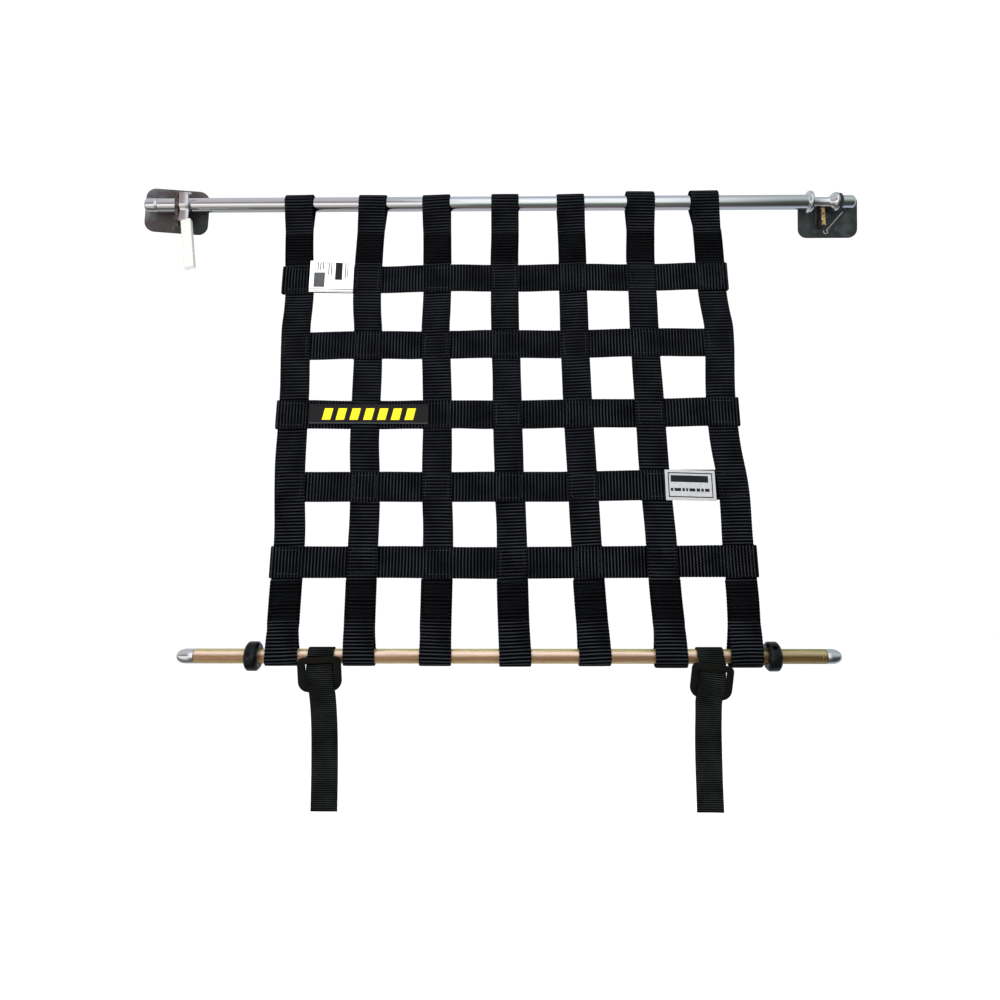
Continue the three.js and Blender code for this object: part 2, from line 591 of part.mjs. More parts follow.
// Tie-down straps with their slide buckles. Places are measured in front of the lower rod, and
// `slots` holds the lengths of a buckle's lower and upper slot.
const TIES = [
  { side: "left", loopX: -153.6, backShift: -1.2, buckle: { x: -153.6, z: -218.3, y: -6.2, turn: -2.6, tilt: 15 },
    below: -149.6, end: -146, width: 35.4, slots: [18, 22.6] },
  { side: "right", loopX: 162.2, backShift: 1.2, buckle: { x: 162.0, z: -223.6, y: -5.4, turn: 6.6, tilt: 15 },
    below: 158.9, end: 156.2, width: 33.6, slots: [18, 22.6] },
];
const BUCKLE = { height: 27.8, thick: 2.6, corners: [4.6, 8.6], bar: 4.8, slot: 6.6 };
for (const { side, loopX, backShift, buckle, below, end, width, slots } of TIES) {
  const place = new THREE.Matrix4().makeTranslation(buckle.x, buckle.y, buckle.z)
    .multiply(new THREE.Matrix4().makeRotationY(THREE.MathUtils.degToRad(buckle.turn)))
    .multiply(new THREE.Matrix4().makeRotationX(THREE.MathUtils.degToRad(buckle.tilt)));

  // Buckle: one moulded plate with two slots.
  const outline = roundedRectangle(THREE.Shape, width, BUCKLE.height, ...BUCKLE.corners);
  const slotMiddle = BUCKLE.bar / 2 + BUCKLE.slot / 2;
  slots.forEach((long, i) => outline.holes.push(roundedRectangle(
    THREE.Path, long, BUCKLE.slot, 1.2, 1.2, i === 0 ? -slotMiddle : slotMiddle)));
  const plate = uprightPlate(outline, BUCKLE.thick, -BUCKLE.thick / 2, 5);
  plate.applyMatrix4(place);
  add("buckle_" + side, plate, MATERIALS.blackPlastic);

  // Path in the buckle's own plane, [height, depth]: over the lower bars, then behind the top one.
  const over = BUCKLE.thick / 2 + GAP + TIE.thick / 2;
  const local = [[-15.4, -over], [-9, -over], [-3, -over], [2.7, -over], [8.7, over], [9.9, over],
    [13.4, over]];
  const tilt = THREE.MathUtils.degToRad(buckle.tilt);
  const turn = THREE.MathUtils.degToRad(buckle.turn);
  const points = [];
  points.push({ along: TIE.end, depth: 1.5, middle: end });
  points.push({ along: -290, depth: 1.4, middle: below + (end - below) * 0.7 });
  points.push({ along: -262, depth: 1.0, middle: below + (end - below) * 0.25 });
  points.push({ along: -247, depth: -1.6, middle: below });
  for (const [height, depth] of local) {
    const up = height * Math.cos(tilt) + depth * Math.sin(tilt);
    const towardsLoop = THREE.MathUtils.clamp(height / 13.4, 0, 1);
    const towardsEnd = THREE.MathUtils.clamp((-3 - height) / 12.4, 0, 1);
    const lowMiddle = buckle.x - 15.4 * Math.sin(turn);
    points.push({
      along: buckle.z + up * Math.cos(turn),
      depth: buckle.y + depth * Math.cos(tilt) - height * Math.sin(tilt),
      middle: buckle.x + up * Math.sin(turn) + (loopX - buckle.x) * towardsLoop
        + THREE.MathUtils.clamp(below - lowMiddle, -2.1, 2.1) * towardsEnd,
      slope: -Math.tan(turn),
    });
  }
  const radius = LOWER_ROD.radius + GAP + TIE.thick / 2 + 0.1;
  for (let i = 0; i <= 12; i++) {
    const angle = Math.PI * (0.95 - 1.01 * (i / 12));
    points.push({
      along: LOWER_ROD.z + radius * Math.sin(angle),
      depth: radius * Math.cos(angle),
      middle: loopX + backShift * (i / 12),
    });
  }
  points.push({ along: -214, depth: 5.8, middle: loopX + backShift });
  points.push({ along: buckle.z - 1, depth: 4.6, middle: loopX + backShift });
  points.push({ along: buckle.z - 9, depth: 4.4, middle: loopX + backShift });
  add("tie_strap_" + side, strap(points, TIE.width, TIE.thick, true), MATERIALS.webbing);
}

export default net;
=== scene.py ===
# Looks for a strap window net hung between an upper and a lower rod.
# Every piece is placed in millimetres from the middle of the net, and stored in metres.
import json
import math

import bmesh
import bpy
import numpy as np
from bpy.props import BoolProperty, FloatProperty, FloatVectorProperty, PointerProperty
from mathutils import Matrix, Vector

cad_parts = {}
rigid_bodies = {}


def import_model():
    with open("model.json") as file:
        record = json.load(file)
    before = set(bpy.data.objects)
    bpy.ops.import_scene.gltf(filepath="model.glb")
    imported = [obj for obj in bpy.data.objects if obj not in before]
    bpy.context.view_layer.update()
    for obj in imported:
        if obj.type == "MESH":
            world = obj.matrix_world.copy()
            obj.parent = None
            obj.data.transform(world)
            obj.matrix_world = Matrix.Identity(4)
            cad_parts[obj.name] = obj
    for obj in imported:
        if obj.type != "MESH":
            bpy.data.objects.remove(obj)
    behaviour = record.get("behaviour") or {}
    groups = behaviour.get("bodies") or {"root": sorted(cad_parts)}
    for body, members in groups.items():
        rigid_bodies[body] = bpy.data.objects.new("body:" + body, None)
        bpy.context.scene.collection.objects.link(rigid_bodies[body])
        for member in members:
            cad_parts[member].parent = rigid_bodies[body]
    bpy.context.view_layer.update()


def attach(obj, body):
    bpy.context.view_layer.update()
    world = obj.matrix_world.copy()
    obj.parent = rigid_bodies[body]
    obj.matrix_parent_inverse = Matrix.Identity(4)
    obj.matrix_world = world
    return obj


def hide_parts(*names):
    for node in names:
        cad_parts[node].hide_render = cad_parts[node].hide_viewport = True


bl_info = {
    "name": "Strap window net",
    "version": (1, 0, 0),
    "blender": (4, 5, 0),
    "location": "View3D > Sidebar > Window net",
    "description": "Builds a woven strap net with its rods, brackets, buckles and stage",
    "category": "Add Mesh",
}

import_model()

# Places and sizes of the net, as its solids have them, in mm.
UPPER_ROD_Z = 204.8
LOWER_ROD_Z = -204.8
UPPER_RADIUS = 6.9
LOWER_RADIUS = 5.8
STRAP_THICK = 1.5
WEAVE_DEPTH = 0.95
FLAT_HALF = 15.0
TAIL_STEP = 1.9
LOOP_STEPS = 40
LOOP_GAP = 0.42
GAP = 0.35
TOP_SEAM = (176.5, 143.7)
BOTTOM_SEAM = (-143.7, -178.7)
ROW_Z = [128.6, 64.2, -1.0, -65.6, -129.5]
FOLD_RADIUS = 0.95
TURNED_BACK = 11.5

# Sewing: half the side of a box seam and how far out its stitches lie, and the rows that hold a
# folded end: how many, the stitches in each, and how far these lie outside the strap's middle.
BOX_HALF = 9.8
BOX_DEPTH = 1.74
BOX_DEPTH_WRAPPED = 3.64
END_ROWS = 10
END_STITCHES = 12
END_DEPTH = 0.78

# Widths in mm of what the shaders draw: a bundle of warp yarns, and two threads of label tape.
YARN_BUNDLE = 2.4
TAPE_THREADS = 0.5

# Bracket plates, square to a line that leans back from the upper rod's axis. Offsets and heights
# are measured from that axis, in the plate's own directions.
PLATE_LEAN = 14.0
PLATE_THICK = 3.0
LEFT_PLATE = {"front": 9.0, "middle": -321.85, "centre": -3.34, "width": 61.6, "height": 42.0, "turn": 4.6,
              "corners": (9.5, 9.5)}
RIGHT_PLATE = {"front": 11.5, "middle": 308.3, "centre": -11.9, "width": 56.7, "height": 38.6, "turn": 0.0,
               "corners": (4.0, 8.5)}


def leant(depth, height):
    """Depth and height, from the net's middle, of a point given in a bracket plate's directions."""
    c, s = math.cos(math.radians(PLATE_LEAN)), math.sin(math.radians(PLATE_LEAN))
    return depth * c - height * s, UPPER_ROD_Z + depth * s + height * c


# The part's own origin is the middle of the left plate's back. The net's middle lies here, in mm.
LEFT_BACK = leant(LEFT_PLATE["front"] + PLATE_THICK, LEFT_PLATE["centre"])
NET_MIDDLE = -np.array([LEFT_PLATE["middle"], *LEFT_BACK])

# Middle of each vertical strap at these heights. `tails` moves the folded tail sideways, `slack`
# lengthens the loop and `slant` tips the ribs, at the upper rod and at the lower one.
LEVELS = [205, 176, 147, 128.6, 95, 81, 64.2, 32, -1, -32, -65.6, -98, -129.5, -160, -190, -205]
VERTICALS = [
    {"width": 26.4, "tails": (-0.6, -1.3), "slack": (0.6, 0), "slant": (0.02, 0.03),
     "x": [-198.5, -197.9, -196.2, -194.6, -193.8, -194.2, -193.6, -192.3,
           -191.8, -191.4, -190.0, -187.8, -187.4, -187.6, -187.2, -186.0]},
    {"width": 25.8, "tails": (-0.3, -0.6), "slack": (0, 0), "slant": (-0.02, 0),
     "x": [-128.6, -129.7, -130.5, -130.8, -130.0, -128.8, -128.0, -127.2,
           -127.0, -126.8, -125.0, -124.1, -124.2, -124.1, -123.7, -122.8]},
    {"width": 25.7, "tails": (0.6, -0.9), "slack": (0, 0), "slant": (0.07, -0.03),
     "x": [-68.6, -67.7, -67.0, -66.3, -66.3, -66.6, -66.0, -64.6,
           -63.5, -63.0, -62.5, -60.9, -60.6, -60.8, -60.8, -60.5]},
    {"width": 25.6, "tails": (0.3, -0.5), "slack": (0.4, 0.5), "slant": (0, 0.05),
     "x": [-3.3, -3.4, -3.9, -3.7, -3.5, -3.3, -2.8, -1.9,
           -1.4, -0.6, 0.4, 1.8, 2.4, 3.0, 4.0, 4.6]},
    {"width": 25.8, "tails": (0.3, -0.5), "slack": (0.1, 0), "slant": (0.05, 0.05),
     "x": [58.6, 59.4, 59.7, 59.5, 59.7, 59.6, 59.7, 60.5,
           61.4, 62.4, 63.5, 64.7, 66.1, 67.5, 69.1, 69.4]},
    {"width": 26.1, "tails": (0, 0.8), "slack": (2.9, 1.4), "slant": (-0.02, 0),
     "x": [125.0, 124.3, 122.9, 123.0, 123.4, 123.5, 123.6, 124.0,
           124.5, 125.3, 126.6, 128.0, 128.8, 129.8, 131.2, 131.0]},
    {"width": 26.2, "tails": (1.3, -0.3), "slack": (3.5, 1.1), "slant": (0.02, 0.02),
     "x": [184.9, 186.9, 187.3, 187.3, 189.2, 190.6, 190.4, 188.7,
           188.2, 189.4, 192.8, 193.3, 193.5, 194.4, 193.2, 191.9]},
]

# Middle height of each level strap at these places across the net.
STATIONS = [-195, -160, -97, -34, 28, 90, 156, 192]
HORIZONTALS = [
    {"width": 26.8, "z": [127.4, 127.7, 127.7, 128.8, 128.5, 128.7, 129.2, 129.4]},
    {"width": 26.6, "z": [62.8, 63.1, 63.3, 63.9, 63.7, 64.6, 65.1, 65.4]},
    {"width": 25.8, "z": [-1.2, -1.4, -1.7, -1.6, -1.4, -0.8, 0.1, 0.5]},
    {"width": 26.0, "z": [-65.3, -65.7, -65.7, -65.8, -65.9, -65.0, -64.3, -64.0]},
    {"width": 26.2, "z": [-129.4, -129.5, -129.3, -130.1, -129.9, -129.5, -128.8, -128.7]},
]

TIES = [
    {"side": "left", "loop_x": -153.6, "back_shift": -1.2, "below": -149.6, "end": -146.0, "width": 35.4,
     "slots": (18.0, 22.6), "x": -153.6, "z": -218.3, "y": -6.2, "turn": -2.6, "tilt": 15.0},
    {"side": "right", "loop_x": 162.2, "back_shift": 1.2, "below": 158.9, "end": 156.2, "width": 33.6,
     "slots": (18.0, 22.6), "x": 162.0, "z": -223.6, "y": -5.4, "turn": 6.6, "tilt": 15.0},
]
TIE_WIDTH = 21.2
TIE_THICK = 1.1
TIE_END = -320.5
TIE_RIB_PITCH = 1.6
TIE_RIB_HEIGHT = 0.1
BUCKLE = {"height": 27.8, "thick": 2.6, "corners": (4.6, 8.6), "bar": 4.8, "slot": 6.6}


class WindowNetSettings(bpy.types.PropertyGroup):
    """Sizes and colours of the net that a user would change."""

    rib_pitch: FloatProperty(
        name="Rib pitch", description="Distance from one cross rib of the webbing to the next",
        default=0.00278, min=0.001, max=0.006, unit="LENGTH")
    rib_height: FloatProperty(
        name="Rib height", description="How far a rib stands above the groove beside it",
        default=0.00022, min=0.0, max=0.0004, unit="LENGTH")
    stitch_length: FloatProperty(
        name="Stitch length", description="Length of one stitch of the box seams",
        default=0.0026, min=0.0015, max=0.005, unit="LENGTH")
    sewn_on_back: BoolProperty(
        name="Sew the back too", description="Shows the stitches on the back of the net as well",
        default=True)
    # The ribs' colour is the black webbing with a painted sheen; the shader paints the grooves near black as
    # shade.
    rib_colour_with_sheen: FloatVectorProperty(
        name="Webbing colour", description="Colour of the ribs of the straps",
        subtype="COLOR", size=3, min=0.0, max=1.0, default=(0.036, 0.040, 0.048))
    floor_colour: FloatVectorProperty(
        name="Floor colour", description="Colour of the plain floor",
        subtype="COLOR", size=3, min=0.0, max=1.0, default=(0.97, 0.97, 0.97))


def settings():
    """The add-on's own settings in this scene."""
    return bpy.context.scene.window_net


# Materials.

def linear(hex_code):
    """Linear colour, with alpha, of an sRGB hex value such as "c0c4cc"."""
    channels = [int(hex_code[i:i + 2], 16) / 255 for i in (0, 2, 4)]
    return tuple(c / 12.92 if c <= 0.04045 else ((c + 0.055) / 1.055) ** 2.4 for c in channels) + (1.0,)


def node(material, kind, values=None, links=None, **attributes):
    """Adds a node, sets its attributes and sockets, and links its inputs to other nodes' outputs."""
    made = material.node_tree.nodes.new(kind)
    for key, value in attributes.items():
        setattr(made, key, value)
    for key, value in (values or {}).items():
        made.inputs[key].default_value = value
    for key, source in (links or {}).items():
        material.node_tree.links.new(source, made.inputs[key])
    return made


def new_material(name, **shader_values):
    """A material with only a Principled shader, its uniform values set on its own sockets."""
    material = bpy.data.materials.new(name)
    material.use_nodes = True
    shader = material.node_tree.nodes["Principled BSDF"]
    for key, value in shader_values.items():
        shader.inputs[key.replace("_", " ")].default_value = value
    return material, shader


def join(owner, socket, output):
    """Links a node's output to a socket. The owner is a material or the world."""
    owner.node_tree.links.new(output, socket)


def reckon(owner, operation, *terms):
    """Result of a math node. Each term is a number or another node's output."""
    numbers = {i: term for i, term in enumerate(terms) if isinstance(term, (int, float))}
    links = {i: term for i, term in enumerate(terms) if i not in numbers}
    return node(owner, "ShaderNodeMath", numbers, links, operation=operation).outputs[0]


def remap(owner, value, to_low, to_high, from_low=0.0, from_high=1.0, **attributes):
    """Moves a value from one range to another, and holds it there at both ends."""
    ends = {"From Min": from_low, "From Max": from_high, "To Min": to_low, "To Max": to_high}
    return node(owner, "ShaderNodeMapRange", ends, {"Value": value}, **attributes).outputs[0]


def noise(owner, vector, scale, detail, **values):
    """Grey value of a noise texture, its waves about 1 / `scale` long."""
    values = {"Scale": scale, "Detail": detail, **values}
    return node(owner, "ShaderNodeTexNoise", values, {"Vector": vector}).outputs["Fac"]


def ramp(owner, factor, stops):
    """Colour at `factor` on a ramp through the stops (position, hex colour)."""
    made = node(owner, "ShaderNodeValToRGB", links={"Fac": factor})
    elements = made.color_ramp.elements
    while len(elements) > 1:
        elements.remove(elements[-1])
    for i, (position, code) in enumerate(stops):
        element = elements[0] if i == 0 else elements.new(position)
        element.position = position
        element.color = linear(code)
    return made.outputs["Color"]


def raise_surface(m, shader, height, strength, metres):
    """Bumps the surface by `height`, by `metres` at most."""
    made = node(m, "ShaderNodeBump", {"Strength": strength, "Distance": metres}, {"Height": height})
    join(m, shader.inputs["Normal"], made.outputs["Normal"])


def woven_polyester(name, pitch, tint=(1.0, 1.0, 1.0)):
    """Black polyester webbing, woven on a needle loom: matt, its ribs broken into dashes by the warp.
    Its ribs carry a painted sheen and its grooves painted shade.
    """
    m, shader = new_material(name, Roughness=0.75, Specular_IOR_Level=0.02, IOR=1.5)
    # Rib colour: black yarn with a painted sheen. Groove colour: painted shade between the ribs.
    rib = (*(c * t for c, t in zip(settings().rib_colour_with_sheen, tint)), 1.0)
    groove = (0.0004, 0.0005, 0.0008, 1.0)
    flat = node(m, "ShaderNodeUVMap", uv_map="strap_mm").outputs["UV"]
    split = node(m, "ShaderNodeSeparateXYZ", links={"Vector": flat})
    along, across = split.outputs["X"], split.outputs["Y"]
    # One rib of filling yarn for each `pitch` along the strap: the ribs get a painted sheen, the grooves
    # between them painted shade.
    wave = reckon(m, "COSINE", reckon(m, "MULTIPLY", along, 2 * math.pi / pitch))
    factor = remap(m, wave, 0.0, 1.0, -0.1, -0.9, interpolation_type="SMOOTHSTEP")
    # Warp yarns float over the ribs in bundles, half a bundle further on in each next rib.
    rib_number = reckon(m, "ROUND", reckon(m, "MULTIPLY", along, 1 / pitch))
    shift = reckon(m, "MULTIPLY", rib_number, math.pi)
    yarns = reckon(m, "SINE", reckon(m, "MULTIPLY_ADD", across, 2 * math.pi / YARN_BUNDLE, shift))
    # Filaments catch the light unevenly, in patches of about 25 mm and specks of 1 mm.
    patches = noise(m, flat, 0.045, 2.0, Roughness=0.5)
    specks = noise(m, flat, 1.3, 3.0, Roughness=0.6)
    # Sewing has pressed the ribs flat where the mesh says so, and there the painted rib sheen is dimmed.
    pressed = node(m, "ShaderNodeAttribute", attribute_name="pressed").outputs["Fac"]
    for mask in (remap(m, yarns, 0.05, 1.15, -0.5, 0.4), remap(m, patches, 0.4, 1.2, 0.3, 0.7),
                 remap(m, specks, 0.35, 1.3, 0.3, 0.7), remap(m, pressed, 1.0, 0.22)):
        factor = reckon(m, "MULTIPLY", factor, mask)
    # A Mix node keeps one socket of each name per type, so the colour ones are found by index.
    colour = node(m, "ShaderNodeMix", {6: groove, 7: rib}, data_type="RGBA")
    join(m, colour.inputs[0], factor)
    join(m, shader.inputs["Base Color"], colour.outputs[2])
    raise_surface(m, shader, factor, 0.35, 0.00012)
    return m


def filament_thread():
    """Bonded nylon sewing thread: tightly twisted, so each stitch has a small glint."""
    m, shader = new_material("bonded_nylon_thread", Roughness=0.45, Specular_IOR_Level=0.22, IOR=1.53)
    place = node(m, "ShaderNodeTexCoord").outputs["Object"]
    twist = node(m, "ShaderNodeTexWave", {"Scale": 900.0, "Distortion": 1.0}, {"Vector": place},
                 bands_direction="DIAGONAL")
    colour = ramp(m, twist.outputs["Fac"], [(0.0, "0c0d0f"), (1.0, "101113")])
    join(m, shader.inputs["Base Color"], colour)
    return m


def woven_tape(name, light, dark, roughness):
    """Label tape in a fine satin weave, with threads 0.25 mm apart drawn at twice that."""
    m, shader = new_material(name, Roughness=roughness, Specular_IOR_Level=0.4, IOR=1.5)
    flat = node(m, "ShaderNodeUVMap", uv_map="strap_mm").outputs["UV"]
    split = node(m, "ShaderNodeSeparateXYZ", links={"Vector": flat})
    warp, weft = (reckon(m, "SINE", reckon(m, "MULTIPLY", split.outputs[axis], 2 * math.pi / TAPE_THREADS))
                  for axis in ("X", "Y"))
    weave = reckon(m, "MULTIPLY", warp, weft)
    worn = noise(m, flat, 0.35, 4.0)
    colour = ramp(m, reckon(m, "MULTIPLY_ADD", weave, worn, worn), [(0.25, dark), (0.7, light)])
    join(m, shader.inputs["Base Color"], colour)
    raise_surface(m, shader, weave, 0.2, 0.00005)
    return m


def bright_zinc_plate(name="bright_zinc_plate", light="f6f7f9", dark="e2e4e8", roughness=0.07, metallic=1.0):
    """Bright zinc on cold-drawn steel: near-mirror, with fine drawing lines along the bar."""
    m, shader = new_material(name, Metallic=metallic)
    place = node(m, "ShaderNodeTexCoord").outputs["Object"]
    # Drawing lines run along the bar for some 80 mm and are 0.4 mm wide.
    stretch = node(m, "ShaderNodeMapping", {"Scale": (12.0, 2500.0, 2500.0)}, {"Vector": place})
    lines = noise(m, stretch.outputs["Vector"], 1.0, 3.0)
    join(m, shader.inputs["Base Color"], ramp(m, lines, [(0.35, dark), (0.65, light)]))
    # Handling marks: duller spots of 5 to 10 mm.
    spots = noise(m, place, 130.0, 4.0)
    join(m, shader.inputs["Roughness"], remap(m, spots, roughness, roughness + 0.1, 0.35, 0.75))
    raise_surface(m, shader, lines, 0.05, 0.00005)
    return m


def yellow_zinc_plate():
    """Yellow-passivated zinc on steel bar: gold with rainbow patches of green, pink and violet, and bands of
    painted reflection along it.
    """
    m, shader = new_material("yellow_passivated_zinc", Metallic=0.6)
    place = node(m, "ShaderNodeNewGeometry").outputs["Position"]
    # Colour by height on the bar: the dark band below the axis and the light pink band above it are painted
    # reflections; the gold near the bottom and the green near the top are the film's own colour.
    move = node(m, "ShaderNodeVectorMath", {1: tuple(to_frame((0, 0, LOWER_ROD_Z)))}, {0: place},
                operation="SUBTRACT")
    split = node(m, "ShaderNodeSeparateXYZ", links={"Vector": move.outputs["Vector"]})
    height = remap(m, split.outputs["Z"], 0.0, 1.0, -LOWER_RADIUS / 1000, LOWER_RADIUS / 1000)
    stretch = node(m, "ShaderNodeMapping", {"Scale": (28.0, 160.0, 160.0)}, {"Vector": place})
    patches = noise(m, stretch.outputs["Vector"], 1.0, 3.0, Roughness=0.55)
    film_and_painted_reflection = reckon(m, "ADD", height, remap(m, patches, -0.12, 0.12))
    gold = ramp(m, film_and_painted_reflection, [
        (0.03, "a2956c"), (0.14, "b99c70"), (0.27, "977a5b"), (0.4, "8c6a4e"), (0.5, "89694f"),
        (0.58, "b39a86"), (0.68, "dcc0ab"), (0.79, "f0d8c2"), (0.89, "bca678"), (1.0, "9c9c68")])
    # From 140 to 210 mm right of the middle the colour turns darker and more olive.
    right = remap(m, split.outputs["X"], 0.0, 1.0, 0.14, 0.21)
    colour = node(m, "ShaderNodeMix", {7: (0.5, 0.54, 0.38, 1.0)}, {0: right, 6: gold}, data_type="RGBA",
                  blend_type="MULTIPLY")
    join(m, shader.inputs["Base Color"], colour.outputs[2])
    join(m, shader.inputs["Roughness"], remap(m, patches, 0.2, 0.34))
    return m


def hot_rolled_plate(name, stops, roughness=0.42, grain=38.0, painted_reflection_drift=(0.0, 0.0)):
    """Hot-rolled steel plate with mill scale, tinted by the heat of welding. `painted_reflection_drift` moves
    the tint per
    metre along x and z: a painted reflection, lighter towards one corner."""
    m, shader = new_material(name, Metallic=0.4)
    place = node(m, "ShaderNodeNewGeometry").outputs["Position"]
    tint = noise(m, place, grain, 3.0, Distortion=0.6)
    # Painted reflection: the tint rises along `painted_reflection_drift`, towards the lighter stops of the
    # ramp.
    painted_reflection_slope = node(m, "ShaderNodeVectorMath", {1: (painted_reflection_drift[0], 0.0, painted_reflection_drift[1])}, {0: place},
                operation="DOT_PRODUCT")
    heat = reckon(m, "ADD", tint, painted_reflection_slope.outputs["Value"])
    join(m, shader.inputs["Base Color"], ramp(m, heat, stops))
    # Mill scale flakes are 1 to 2 mm wide.
    flakes = noise(m, place, 700.0, 5.0)
    join(m, shader.inputs["Roughness"], remap(m, flakes, roughness - 0.1, roughness + 0.15))
    raise_surface(m, shader, flakes, 0.12, 0.0002)
    return m


def speckled(name, light, dark, roughness, metallic=0.0, grain=400.0, bump_mm=0.05, specular=0.5):
    """A moulded, blackened or printed surface with a fine grain."""
    m, shader = new_material(name, Metallic=metallic, Roughness=roughness, Specular_IOR_Level=specular)
    grains = noise(m, node(m, "ShaderNodeTexCoord").outputs["Object"], grain, 4.0)
    join(m, shader.inputs["Base Color"], ramp(m, grains, [(0.3, dark), (0.7, light)]))
    raise_surface(m, shader, grains, 0.2, bump_mm / 1000)
    return m


# How each material is made. Every name says what it is and how it was finished, or which light or shade is
# painted on it.
MAKERS = {
    "webbing": lambda: woven_polyester("woven_polyester_webbing", settings().rib_pitch * 1000),
    "tie_webbing": lambda: woven_polyester("thin_woven_polyester", TIE_RIB_PITCH, (1.13, 1.2, 0.91)),
    "thread": filament_thread,
    "tape_white": lambda: woven_tape("satin_tape_white", "f6f6f3", "e2e2de", 0.55),
    "tape_black": lambda: woven_tape("satin_tape_black", "0f0f11", "070708", 0.6),
    "tape_silver": lambda: woven_tape("satin_tape_silver", "adaeb0", "8c8d90", 0.5),
    "yarn_yellow": lambda: woven_tape("satin_yarn_yellow", "ffe21c", "e6c400", 0.5),
    "ink_black": lambda: woven_tape("printed_ink_black", "0e0f11", "070708", 0.5),
    "ink_grey": lambda: woven_tape("printed_ink_grey", "4f5155", "393b3e", 0.5),
    "zinc": bright_zinc_plate,
    "zinc_dull": lambda: bright_zinc_plate("satin_zinc_plate", "f4eff1", "ddd6da", 0.2),
    # The latch handle's zinc: whitish and little metallic as a painted reflection of a softbox, and a darker
    # copy as painted shade on one side.
    "zinc_painted_glare": lambda: bright_zinc_plate("zinc_plate_with_painted_glare", "cdccc9", "c0bfbb", 0.5, 0.15),
    "zinc_painted_shade": lambda: bright_zinc_plate("zinc_plate_with_painted_shade", "b9beb3", "a7aba1", 0.5, 0.3),
    "wire": lambda: bright_zinc_plate("drawn_wire", "a4a49e", "83837d", 0.35, 0.7),
    "yellow_zinc": yellow_zinc_plate,
    # The left plate's tint drifts lighter and bluer towards its upper left: a painted reflection on it.
    "scale_left": lambda: hot_rolled_plate("mill_scale_brown", [
        (0.22, "2b302f"), (0.36, "322f2e"), (0.46, "393333"), (0.58, "463f40"), (0.72, "5c5f63"),
        (0.85, "737b80")], painted_reflection_drift=(-5.0, 9.0)),
    "scale_right": lambda: hot_rolled_plate("mill_scale_blue", [
        (0.3, "363d3f"), (0.45, "2b3031"), (0.6, "26292a"), (0.72, "3e4446")]),
    "tab_edge_left": lambda: hot_rolled_plate("olive_heat_tint", [
        (0.38, "2c2924"), (0.5, "544c3c"), (0.6, "2b2621")], 0.36, grain=160.0),
    "heat_tinted": lambda: hot_rolled_plate("straw_heat_tint", [
        (0.36, "4b4a2c"), (0.46, "b39a62"), (0.54, "7d5c46"), (0.64, "3c3427")], 0.36, grain=190.0),
    "weld": lambda: hot_rolled_plate("weld_bead", [(0.3, "33302e"), (0.5, "433e39"), (0.7, "2c2a28")], 0.38),
    "spatter": lambda: hot_rolled_plate("weld_spatter", [(0.3, "8d8680"), (0.7, "6f6964")], 0.34),
    "black_oxide": lambda: speckled("black_oxide_steel", "2a2c2f", "1a1b1d", 0.16, 0.85, 600.0, 0.02),
    "moulded_nylon": lambda: speckled(
        "moulded_black_nylon", "0f0e0b", "080706", 0.42, 0.0, 900.0, 0.03, 0.09),
    "nitrile": lambda: speckled("moulded_nitrile_rubber", "26272a", "18191b", 0.7, 0.0, 900.0, 0.03, 0.35),
}
MATERIALS = {}


def material(key):
    """Makes each material once."""
    if key not in MATERIALS:
        MATERIALS[key] = MAKERS[key]()
    return MATERIALS[key]


# Meshes.

def to_frame(points):
    """Millimetres from the net's middle to metres in the part's frame."""
    return (np.asarray(points, float) + NET_MIDDLE) / 1000.0


def piece(name, points, faces, keys, replaces=(), face_keys=None, uv=None, pressed=None, smooth=True,
          sharp_degrees=None):
    """Adds a mesh that rides with the part. `points` are in net millimetres."""
    mesh = bpy.data.meshes.new(name)
    mesh.from_pydata(to_frame(points).tolist(), [], faces)
    mesh.update()
    for key in keys:
        mesh.materials.append(material(key))
    if face_keys is not None:
        mesh.polygons.foreach_set("material_index", np.asarray(face_keys, np.int32))
    mesh.polygons.foreach_set("use_smooth", np.full(len(mesh.polygons), smooth))
    if uv is not None:
        corner_vertex = np.zeros(len(mesh.loops), np.int32)
        mesh.loops.foreach_get("vertex_index", corner_vertex)
        layer = mesh.uv_layers.new(name="strap_mm")
        layer.data.foreach_set("uv", np.asarray(uv, float)[corner_vertex].ravel())
    if pressed is not None:
        attribute = mesh.attributes.new("pressed", "FLOAT", "POINT")
        attribute.data.foreach_set("value", np.asarray(pressed, np.float32))
    if sharp_degrees is not None:
        mesh.set_sharp_from_angle(angle=math.radians(sharp_degrees))
    made = bpy.data.objects.new(name, mesh)
    bpy.context.scene.collection.objects.link(made)
    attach(made, "root")
    if replaces:
        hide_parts(*replaces)
    return made


def smooth_table(keys, values, at):
    """Value at `at` on a smooth curve through the points, without overshoot."""
    keys = np.asarray(keys, float)
    values = np.asarray(values, float)
    if keys[0] > keys[-1]:
        keys, values = keys[::-1], values[::-1]
    slopes = np.gradient(values, keys)
    at = np.clip(np.asarray(at, float), keys[0], keys[-1])
    i = np.clip(np.searchsorted(keys, at) - 1, 0, len(keys) - 2)
    span = keys[i + 1] - keys[i]
    t = (at - keys[i]) / span
    t2, t3 = t * t, t * t * t
    return ((2 * t3 - 3 * t2 + 1) * values[i] + (t3 - 2 * t2 + t) * span * slopes[i]
            + (3 * t2 - 2 * t3) * values[i + 1] + (t3 - t2) * span * slopes[i + 1])


